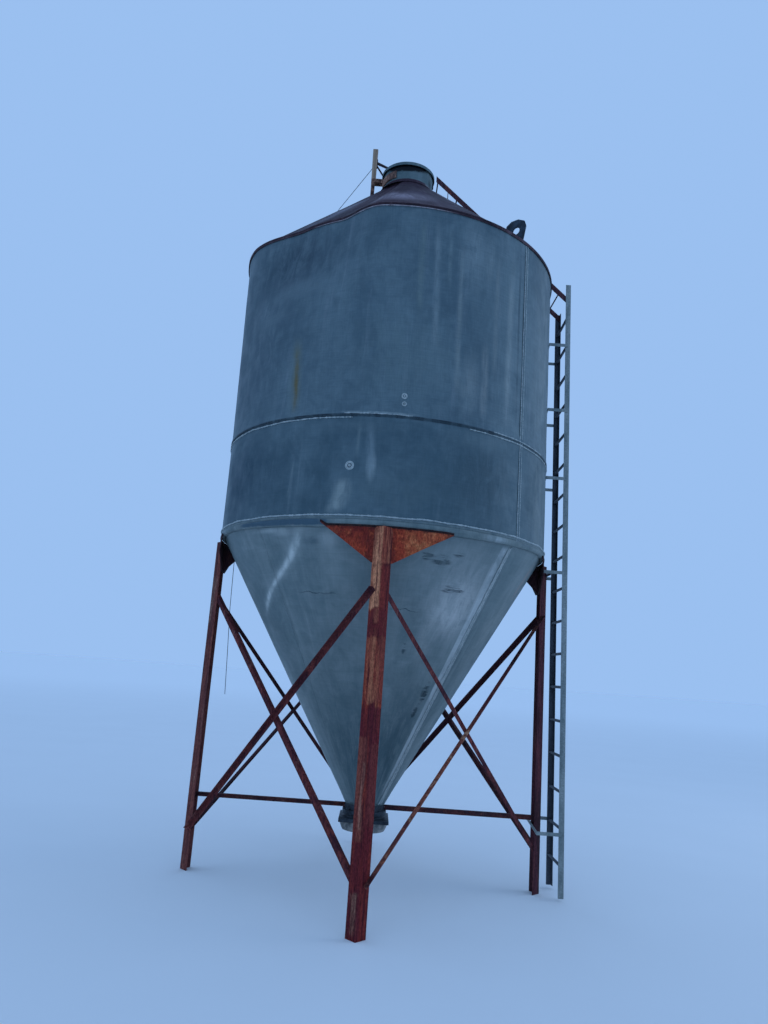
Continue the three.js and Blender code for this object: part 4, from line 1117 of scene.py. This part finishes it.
# %% All legs and braces
for quarter, side in enumerate(SIDES):
    leg = turned_round(leg_shape(LEG_TOP[side]), quarter)
    place(f"leg_bar_{side}", leg, LEG_FINISH.get(side, leg_rust), SILO, (f"leg_{side}",))
    face = f"{side}_{SIDES[(quarter + 1) % 4]}"
    for word, outside in (("outer", True), ("inner", False)):
        # Braces on the back faces take the painted-shade copy.
        finish = brace_rust if "front" in face else brace_shaded_rust
        if outside and side == "front":
            finish = brace_tan_rust
        brace = turned_round(brace_shape(outside), quarter)
        place(f"brace_bar_{word}_{face}", brace, finish, SILO, (f"brace_{word}_{face}",))
print("legs", len(SIDES), "braces", 2 * len(SIDES))

# %% [markdown]
# ## Plates and brackets
# The measured plates have the right shape, but their corners are razor sharp, which no cut steel is.
# A copy of each is merged into one skin, its flat faces are joined up, and its corners are rounded.

# %% Rounding a measured node
def corners_rounded(shape, width):
    corners = [e for e in shape.edges if len(e.link_faces) == 2 and e.calc_face_angle() > SMOOTH_ANGLE]
    bmesh.ops.bevel(
        shape, geom=corners, offset=width, segments=2, profile=0.6, affect="EDGES", clamp_overlap=True,
    )
    return shape


def finished(node, finish, slot, width, body=SILO, grow=0.0, above=0.0):
    """grow thickens the part of the piece that lies above a height."""
    shape = bmesh.new()
    shape.from_mesh(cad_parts[node].data)
    bmesh.ops.remove_doubles(shape, verts=shape.verts, dist=1e-5)
    bmesh.ops.dissolve_limit(shape, angle_limit=math.radians(1), verts=shape.verts, edges=shape.edges)
    made = from_bmesh(node + "_soft", corners_rounded(shape, width))
    outward = [vert.normal.copy() for vert in made.vertices]
    for vert, normal in zip(made.vertices, outward):
        if vert.co.z > above:
            vert.co += Vector((normal.x, normal.y, 0.0)) * grow
    place(node + "_piece", made, finish, body, (node,))


# %% All rounded nodes
SOFT_NODES = [
    ("strut_front strut_right strut_back strut_left", strut_rust, "rust_dark", 0.001),
    ("lifting_lug_front lifting_lug_back", lug_black, "dark_steel", 0.0025),
    ("ladder_bracket_shell_1 ladder_bracket_shell_2 ladder_bracket_shell_3 ladder_bracket_head",
     ladder_zinc, "galvanised_dark", 0.001),
    ("ladder_bracket_leg", ladder_zinc, "galvanised", 0.001),
    ("lid_bracket", bracket_rust, "rust", 0.0012),
    ("lid_post", timber, "weathered_wood", 0.004, LID_BODY, 0.005, 7.01),
    ("lid_stays", stay_steel, "dark_steel", 0.0008, LID_BODY, 0.005),
    ("roof_ladder", roof_ladder_rust, "rust_dark", 0.001),
    ("outlet_collar", outlet_black, "dark_steel", 0.0015),
    ("outlet_gate", outlet_black, "dark_steel", 0.002),
    ("outlet_boot", boot_zinc, "galvanised", 0.0015),
]
for nodes, *look in SOFT_NODES:
    for node in nodes.split():
        finished(node, *look)
print("plates rounded")

# %% [markdown]
# The head plates were cut by hand. Their top edge laps over the knuckle's foot, and their wings bend
# back until the tips touch it, with a curled tip at the front left. So each plate is a grid between a
# lower and an upper line, laid on the knuckle's curve at the top and left flat below. A web stands
# behind it on the hopper, and a dark bead along the top edge is painted shadow under the knuckle. The
# plates at the sides and back take a darker copy of the rust as painted shade.

# %% A head plate's outline
PLATE_TOP, PLATE_FOOT, PLATE_WAIST, PLATE_THICK, PLATE_SWEEP = 2.905, 2.620, 0.080, 0.008, 0.07
PLATE_FACE, LAP_RADIUS, LAP_FROM, LAP_TO = 1.5157, 1.527, 2.84, 2.895
TIP_DEPTH = 0.018
CURL_FROM = 0.87
EVEN_TIPS = ((-0.505, 0.010), (0.505, 0.010))
PLATE_TIPS = {"front": ((-0.500, 0.032), (0.550, -0.003))}
PLATE_LIFT = {"front": 0.0, "right": 0.018, "back": 0.018, "left": 0.018}
WEB_FACE, WEB_FOOT, WEB_MIDDLE, WEB_TOP = 1.509, 2.640, 2.755, 2.882
SHADOW_BEAD = [
    (-0.0005, -0.015), (-0.0028, -0.011), (-0.003, 0.0), (-0.0012, 0.0014), (0.006, 0.0014), (0.006, -0.001),
]


def plate_y(x, z):
    flat = -PLATE_FACE + PLATE_SWEEP * abs(x)
    lapped = -math.sqrt(LAP_RADIUS ** 2 - x ** 2)
    near_top = eased(z, LAP_FROM, LAP_TO)
    return flat + near_top * (lapped - flat) + (1 - near_top) * max(0.0, lapped - flat)


def plate_lines(side, x):
    """The heights of the plate's lower and upper edge at x."""
    tip, curl = PLATE_TIPS.get(side, EVEN_TIPS)[0 if x < 0 else 1]
    high = PLATE_TOP + curl * eased(x / tip, CURL_FROM, 1.0)
    past_waist = max(0.0, (abs(x) - PLATE_WAIST) / (abs(tip) - PLATE_WAIST))
    low = PLATE_FOOT + (PLATE_TOP + curl - TIP_DEPTH - PLATE_FOOT) * past_waist
    return low + PLATE_LIFT[side], high + PLATE_LIFT[side]


def plate_columns(side, steps):
    left, right = (tip for tip, _ in PLATE_TIPS.get(side, EVEN_TIPS))
    inner = [-PLATE_WAIST, 0.0, PLATE_WAIST]
    return sorted([left + (right - left) * i / steps for i in range(steps + 1)] + inner)


# %% Head plates
def grid_rim(grid):
    """The corners round the outside of a grid."""
    return [column[0] for column in grid] + grid[-1][1:] + [c[-1] for c in grid[-2::-1]] + grid[0][-2:0:-1]


def head_plate(side, rows=14):
    shape = bmesh.new()
    grids = []
    for depth in (0.0, PLATE_THICK):
        grid = []
        for x in plate_columns(side, 40):
            low, high = plate_lines(side, x)
            heights = [low + (high - low) * (1 - (1 - j / rows) ** 1.6) for j in range(rows + 1)]
            grid.append([shape.verts.new((x, plate_y(x, z) + depth, z)) for z in heights])
        grids.append(grid)
    for grid in grids:
        skin(shape, grid, ring=False, caps=False)
    skin(shape, [grid_rim(grid) for grid in grids], caps=False)
    web = [(-WEB_FACE, WEB_FOOT), (-WEB_FACE, WEB_TOP)]
    web += [(-HOPPER_FOOT_RADIUS - HOPPER_GROW * (z - Z_OUTLET) - 0.0008, z) for z in (WEB_TOP, WEB_MIDDLE)]
    skin(shape, [[shape.verts.new((x, y, z)) for y, z in web] for x in (-PLATE_THICK / 2, PLATE_THICK / 2)])
    return corners_rounded(shape, 0.0012)


def plate_edge(side):
    """The dark bead of painted shadow: its outline follows the plate's outer top corner."""
    rows = []
    for x in plate_columns(side, 90):
        rough = 0.0022 * noise.noise(Vector((x * 30, 1.0, 2.0)))
        high = plate_lines(side, x)[1]
        middle = Vector((x, plate_y(x, high), high))
        rows.append([middle + Vector((0.0, y, z + (rough if z < -0.005 else 0.0))) for y, z in SHADOW_BEAD])
    return loft(rows)


for quarter, side in enumerate(SIDES):
    # The side and back plates take the painted-shade copy of the rust.
    finish = head_rust if side == "front" else head_shaded_rust
    plate = turned_round(head_plate(side), quarter)
    place(f"leg_head_{side}_piece", plate, finish, SILO, (f"leg_head_{side}",))
    place(f"head_edge_{side}", turned_round(plate_edge(side), quarter), head_edge_shadow)
print("head plates", len(SIDES))

# %% [markdown]
# ## Ladder
# Each length has two angle-iron rails and round rungs at an even step. A node tree sets a row of
# rungs from a start, a step and a count, with a small weld cone at both ends.

# %% Rungs
LADDER_FOOT_X, LADDER_TOP_X, LADDER_TOP_Z, FAR_RAIL_TOP_Z = 1.727, 1.688, 5.758, 5.655
LADDER_HALF_WIDTH, LADDER_Y, LADDER_FOOT_Z, RAIL_SIZE, RAIL_THICK = 0.231, 0.006, 0.025, 0.050, 0.005
RUNG_RADIUS, RUNG_STEP, FIRST_RUNG, RUNG_COUNT, SPLICE_Z = 0.013, 0.3012, 0.285, 18, 3.072
RUNG_BEHIND, RUNG_WELD = 0.004, 0.006


def ladder_x(z):
    return LADDER_FOOT_X + (LADDER_TOP_X - LADDER_FOOT_X) * z / LADDER_TOP_Z


def rung_tree():
    tree, given = start_tree(
        "row of rungs", Vector="Start, Step", Int="Count", Float="Length, Radius, Weld", Material="Finish",
    )
    row = add("GeometryNodeMeshLine", {
        "Count": given["Count"], "Start Location": given["Start"], "Offset": given["Step"],
    }, mode="OFFSET")
    parts = [add("GeometryNodeMeshCylinder", {
        "Vertices": 20, "Side Segments": 6, "Radius": given["Radius"], "Depth": given["Length"],
    })]
    wide = given["Radius"] + given["Weld"]
    for sign, outer, inner in ((-1.0, "Radius Bottom", "Radius Top"), (1.0, "Radius Top", "Radius Bottom")):
        cone = add("GeometryNodeMeshCone", {
            "Vertices": 20, "Side Segments": 2, "Depth": given["Weld"], outer: wide, inner: given["Radius"],
        })
        base = (given["Length"] - given["Weld"]) * (sign * 0.5) - given["Weld"] * 0.5
        parts.append(raised(cone, base))
    laid = add("GeometryNodeTransform", {"Geometry": joined(parts), "Rotation": (math.pi / 2, 0.0, 0.0)})
    many = add("GeometryNodeInstanceOnPoints", {"Points": row, "Instance": laid})
    return end_tree(many, given["Finish"])


rungs = rung_tree()
print("nodes in the row of rungs", len(rungs.nodes))


# %% Rails and rungs
def rail_shape(side, low, high):
    outline = [(RAIL_SIZE / 2 - u, -side * v) for u, v in angle_outline(RAIL_SIZE, RAIL_THICK)]
    if side < 0:
        outline.reverse()
    y = LADDER_Y + side * LADDER_HALF_WIDTH
    start, end = (AXIS + Vector((ladder_x(z), y, z)) for z in (low, high))
    return carried(outline, start, end, Vector((1.0, 0.0, 0.0)), 20, 0.0)


def ladder_piece(name, node, low, near_top, far_top):
    numbers = [i for i in range(RUNG_COUNT) if low < FIRST_RUNG + i * RUNG_STEP < far_top]
    z = FIRST_RUNG + numbers[0] * RUNG_STEP
    made = run_tree(rungs, {
        "Start": AXIS + Vector((ladder_x(z) - RUNG_BEHIND, LADDER_Y, z)), "Count": len(numbers),
        "Step": Vector((ladder_x(z + RUNG_STEP) - ladder_x(z), 0.0, RUNG_STEP)),
        "Length": 2 * (LADDER_HALF_WIDTH - RAIL_THICK), "Radius": RUNG_RADIUS, "Weld": RUNG_WELD,
        "Finish": ladder_shaded_zinc,
    })
    # The rungs and the far rail take the painted-shade copy of the zinc.
    place(name + "_rungs", made, ladder_shaded_zinc)
    for side, top, word, finish in ((-1, near_top, "near", ladder_zinc), (1, far_top, "far", ladder_shaded_zinc)):
        rail = place(f"{name}_rail_{word}", rail_shape(side, low, top), finish)
        if side < 0:
            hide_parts(node)
    return len(numbers)


made_rungs = ladder_piece("ladder_low", "ladder_lower", LADDER_FOOT_Z, SPLICE_Z, SPLICE_Z)
made_rungs += ladder_piece("ladder_high", "ladder_upper", SPLICE_Z + TOUCH, LADDER_TOP_Z, FAR_RAIL_TOP_Z)
print("rungs", made_rungs)

# %% [markdown]
# ## Seams
# The upright seams are covered by a flat strip with sealant pressed along both edges. Round the drum
# a weld runs above the knuckle and another under the upper band. Sealant and weld are rows of small
# lumps, so one tree sets a flattened ball every few millimetres along a line, each a little different.

# %% Beads along a line
def bead_tree():
    tree, given = start_tree(
        "beads along a line", Float="Pitch, Width, Length, Jitter", Int="Seed", Material="Finish",
    )
    curve = add("GeometryNodeMeshToCurve", {0: given["Geometry"]})
    points = add("GeometryNodeCurveToPoints", {"Curve": curve, "Length": given["Pitch"]}, mode="LENGTH")
    ball = add("GeometryNodeMeshUVSphere", {"Segments": 6, "Rings": 4, "Radius": 1.0}, tree=tree)
    ends = {2: calc("SUBTRACT", 1.0, given["Jitter"]), 3: calc("ADD", 1.0, given["Jitter"])}
    chance = add("FunctionNodeRandomValue", {**ends, "Seed": given["Seed"]}, out=1, data_type="FLOAT")
    wide = chance * given["Width"]
    many = add("GeometryNodeInstanceOnPoints", {
        "Points": points, "Instance": ball, "Rotation": Flow(points.node.outputs["Rotation"]),
        "Scale": combine(wide, wide, given["Length"]),
    })
    return end_tree(many, given["Finish"])


beads = bead_tree()
print("nodes in the beads", len(beads.nodes))


def bead_piece(name, lines, finish, pitch, width, length, jitter, seed):
    """lines is a list of lists of points."""
    shape = bmesh.new()
    for line in lines:
        corners = [shape.verts.new(p) for p in line]
        for pair in zip(corners, corners[1:]):
            shape.edges.new(pair)
    made = run_tree(beads, {
        "Pitch": pitch, "Width": width, "Length": length, "Jitter": jitter, "Seed": seed, "Finish": finish,
    }, from_bmesh("line", shape))
    place(name, made, finish)


def level_line(radius, z, start, end, waver):
    """A level line round the wall that wanders up and down a little, as a hand-made weld does."""
    points = []
    for azimuth in (start + i for i in range(int(end - start) + 1)):
        slow = noise.noise(Vector((azimuth * 0.12, z, 3.0)))
        quick = noise.noise(Vector((azimuth * 0.5, z, 7.0)))
        points.append(around(radius, azimuth, z + waver * (slow + 0.5 * quick)))
    return points


# %% Seam strips and sealant
STRIP_HALF, STRIP_THICK, STRIP_STEPS = 0.014, 0.0022, 40
STRIP_SECTION = [
    (-1.0, -0.002), (-1.0, STRIP_THICK * 0.4), (-0.86, STRIP_THICK), (0.86, STRIP_THICK),
    (1.0, STRIP_THICK * 0.4), (1.0, -0.002),
]
SEAM_RUNS = {
    "upper": ((SHELL_RADIUS, Z_BAND_SEAM + 0.012), (SHELL_RADIUS, Z_EAVE - 0.028), SHELL_SEAM),
    "lower": ((SHELL_RADIUS, Z_RING_TOP + 0.002), (SHELL_RADIUS, Z_BAND_SEAM - 0.032), SHELL_SEAM),
    "hopper": (
        (HOPPER_FOOT_RADIUS + 0.012, Z_OUTLET + 0.02), (HOPPER_TOP_RADIUS, Z_RING_BOTTOM), HOPPER_SEAM,
    ),
}


def seam_point(low, high, azimuth, step, aside, lift):
    """low and high are (radius, z) of the wall. The point lies aside along it and lifted off it."""
    radius, z = (a + (b - a) * step / STRIP_STEPS for a, b in zip(low, high))
    return around(radius + lift, azimuth + math.degrees(aside / radius), z)


for word, (low, high, azimuth) in SEAM_RUNS.items():
    for side, turn in (("front", azimuth), ("back", azimuth + 180)):
        steps = range(STRIP_STEPS + 1)
        strip = [
            [seam_point(low, high, turn, i, x * STRIP_HALF, lift) for x, lift in STRIP_SECTION] for i in steps
        ]
        cover = hopper_seam_zinc if word == "hopper" else seam_steel
        place(f"seam_strip_{word}_{side}", loft(strip), cover)
        edges = (-STRIP_HALF - 0.001, STRIP_HALF + 0.001)
        lines = [[seam_point(low, high, turn, i, edge, 0.0004) for i in steps] for edge in edges]
        bead_piece(f"seam_sealant_{word}_{side}", lines, sealant, 0.011, 0.0045, 0.0085, 0.3, 7)

bead_piece(
    "knuckle_weld", [level_line(1.5252, 2.976, -180.0, 180.0, 0.006)], sealant,
    0.013, 0.0068, 0.012, 0.35, 3,
)
bead_piece("band_sealant", [
    level_line(SHELL_RADIUS + 0.0006, 3.771, -133.0, -12.0, 0.006),
    level_line(SHELL_RADIUS + 0.0006, 3.773, 25.0, 227.0, 0.004),
    level_line(SHELL_RADIUS + 0.0050, 3.806, -14.0, 6.0, 0.004),
    level_line(SHELL_RADIUS + 0.0050, 3.803, 34.0, 62.0, 0.003),
], sealant, 0.014, 0.0052, 0.011, 0.55, 5)
print("seams", 2 * len(SEAM_RUNS))

# %% [markdown]
# ## Bolts and plugs
# Bolts hold the braces at their ends and where they cross, and the outlet's flange. A tree sets a
# washer and a six-sided head on each given point, turned to face outward and spun by a random angle.
# Three plugs close old holes in the drum's wall. Each is a washer, a rubber ring and a hub.

# %% Bolt tree
WASHER_HEIGHT = 0.0025


def bolt_tree():
    tree, given = start_tree(
        "bolts", Float="Head, Height, Washer, Washer Height", Int="Seed", Material="Finish",
    )
    head, height, washer = given["Head"], given["Height"], given["Washer Height"]
    nut = add("GeometryNodeMeshCylinder", {"Vertices": 6, "Radius": head, "Depth": height})
    ring = add("GeometryNodeMeshCylinder", {"Vertices": 18, "Radius": given["Washer"], "Depth": washer})
    crown = add("GeometryNodeMeshCone", {
        "Vertices": 18, "Radius Bottom": head * 0.8, "Radius Top": head * 0.45, "Depth": height * 0.18,
    })
    parts = [raised(ring, washer * 0.5), raised(nut, height * 0.5 + washer), raised(crown, height + washer)]
    facing = add("GeometryNodeInputNamedAttribute", {"Name": "facing"}, tree=tree, data_type="FLOAT_VECTOR")
    aimed = add("FunctionNodeAlignRotationToVector", {"Vector": facing}, axis="Z")
    angles = {2: 0.0, 3: math.pi / 3, "Seed": given["Seed"]}
    chance = add("FunctionNodeRandomValue", angles, out=1, data_type="FLOAT")
    spin = add("FunctionNodeAxisAngleToRotation", {"Axis": (0.0, 0.0, 1.0), "Angle": chance})
    turned_to = add("FunctionNodeRotateRotation", {0: aimed, 1: spin}, rotation_space="LOCAL")
    many = add("GeometryNodeInstanceOnPoints", {
        "Points": given["Geometry"], "Instance": joined(parts), "Rotation": turned_to,
    })
    return end_tree(many, given["Finish"])


bolts = bolt_tree()
print("nodes in the bolts", len(bolts.nodes))


def bolt_piece(name, spots, finish, head, height, washer, seed):
    """spots is a list of (point, facing) pairs."""
    source = bpy.data.meshes.new("points")
    source.from_pydata([tuple(p) for p, _ in spots], [], [])
    facing = source.attributes.new("facing", "FLOAT_VECTOR", "POINT")
    for i, (_, way) in enumerate(spots):
        facing.data[i].vector = way
    made = run_tree(bolts, {
        "Head": head, "Height": height, "Washer": washer, "Washer Height": WASHER_HEIGHT, "Seed": seed,
        "Finish": finish,
    }, source)
    place(name, made, finish)


# %% Bolts on braces and outlet
BOLT_INSET = 0.03
crossing_spots, end_spots = [], []
for turn in (quarter_turn(quarter).to_3x3() for quarter in range(4)):
    for outside in (True, False):
        high, low, stand = brace_line(outside)
        run = (low - high).normalized() * BOLT_INSET
        if outside:
            crossing_spots.append((AXIS + turn @ ((high + low) / 2 + stand * BRACE_THICK), turn @ stand))
        for end in (high + run, low - run):
            end_spots.append((AXIS + turn @ (end + stand * BRACE_THICK), turn @ stand))
bolt_piece("brace_crossing_bolts", crossing_spots, brace_rust, 0.012, 0.010, 0.017, 2)
bolt_piece("brace_end_bolts", end_spots, brace_rust, 0.011, 0.009, 0.016, 4)

FLANGE_BOLTS, FLANGE_BOLT_RADIUS, Z_FLANGE = 12, 0.187, 0.605
UP = Vector((0.0, 0.0, 1.0))
flange_spots = [
    (around(FLANGE_BOLT_RADIUS, 360.0 * i / FLANGE_BOLTS + 15.0, Z_FLANGE), UP) for i in range(FLANGE_BOLTS)
]
bolt_piece("outlet_flange_bolts", flange_spots, outlet_black, 0.0075, 0.006, 0.0085, 6)
print("bolts", len(crossing_spots) + len(end_spots) + len(flange_spots))

# %% Wall plugs
PLUGS = [(3.4, 3.967, 0.025), (3.5, 3.902, 0.020), (-11.5, 3.374, 0.037)]
PLUG_PARTS = {
    "washer": (plug_zinc, [
        (0.48, 0.0), (1.0, 0.0), (0.99, 0.05), (0.94, 0.075), (0.56, 0.085), (0.48, 0.06),
    ]),
    "ring": (plug_dark, [(0.28, 0.0), (0.50, 0.0), (0.50, 0.05), (0.28, 0.05)]),
    "hub": (plug_zinc, [(0.0, 0.0), (0.30, 0.0), (0.30, 0.10), (0.24, 0.15), (0.12, 0.17), (0.0, 0.17)]),
}
PLUG_SINK = 0.0025


def lathed(outline, middle, way, size, columns=32):
    """Spins an outline of (radius, lift) about the wall's outward direction."""
    across = UP.cross(way).normalized()
    up = way.cross(across)
    rows = []
    for turn in (2 * math.pi * i / columns for i in range(columns)):
        out = across * math.cos(turn) + up * math.sin(turn)
        rows.append([middle + (out * r + way * h) * size for r, h in outline])
    return merged(loft(rows + rows[:1], ring=outline[0][0] > 0, caps=False))


for number, (azimuth, z, size) in enumerate(PLUGS, 1):
    way = around(1.0, azimuth, 0.0) - AXIS
    middle = around(SHELL_RADIUS - PLUG_SINK, azimuth, z)
    for word, (finish, outline) in PLUG_PARTS.items():
        place(f"wall_plug_{number}_{word}", lathed(outline, middle, way, size), finish)
print("plugs", len(PLUGS))

# %% [markdown]
# ## Floor and light
# A pale floor and an even pale sky light the silo softly from all sides, as on a dull winter day. Two
# large lamps, a weak one at the left and one at the right, give the drum its roundness. The floor pales
# with distance, so that it meets the sky softly.

# %% Stage
FLOOR_SIZE = 400.0
FLOOR_TONES = (0.83, 0.84, 0.85, 1.0), (0.87, 0.88, 0.89, 1.0), (0.97, 0.98, 0.99, 1.0)
SKY_COLOUR, SKY_STRENGTH, LAMP_COLOUR = (0.375, 0.605, 1.0, 1.0), 0.87, (0.70, 0.83, 1.0)

floor_finish, floor_tree = start_finish("pale floor")
floor_place = object_place(floor_tree)
soft = cloud(floor_place, 0.6, 2.0)
near_colour = mix(soft, *FLOOR_TONES[:2])
floor_colour = mix(span(size_of(floor_place), 6.0, 60.0), near_colour, FLOOR_TONES[2])
end_finish(floor_colour, 0.9, soft, 0.0005, 0.0, 0.1)
floor_mesh = bpy.data.meshes.new("floor")
floor_corners = [(x * FLOOR_SIZE, y * FLOOR_SIZE, 0) for x, y in ((-1, -1), (1, -1), (1, 1), (-1, 1))]
floor_mesh.from_pydata(floor_corners, [], [(0, 1, 2, 3)])
floor_mesh.materials.append(floor_finish)
floor = show("floor", floor_mesh)

world = bpy.data.worlds.new("sky")
world.use_nodes = True
sky = world.node_tree.nodes["Background"]
sky.inputs[0].default_value = SKY_COLOUR
sky.inputs[1].default_value = SKY_STRENGTH
bpy.context.scene.world = world


def lamp(name, place_at, aim, size, power):
    light = bpy.data.lights.new(name, "AREA")
    light.size = size
    light.energy = power
    light.color = LAMP_COLOUR
    shown = show(name, light)
    shown.location = place_at
    shown.rotation_mode = "QUATERNION"
    shown.rotation_quaternion = (aim - place_at).to_track_quat("-Z", "Y")


lamp("soft left", Vector((-10.0, -6.0, 6.0)), Vector((0.0, 0.0, 3.0)), 7.0, 20.0)
lamp("soft right", Vector((12.0, -0.5, 6.0)), Vector((0.0, 0.0, 3.5)), 6.0, 150.0)
bpy.context.scene.view_settings.view_transform = "Standard"
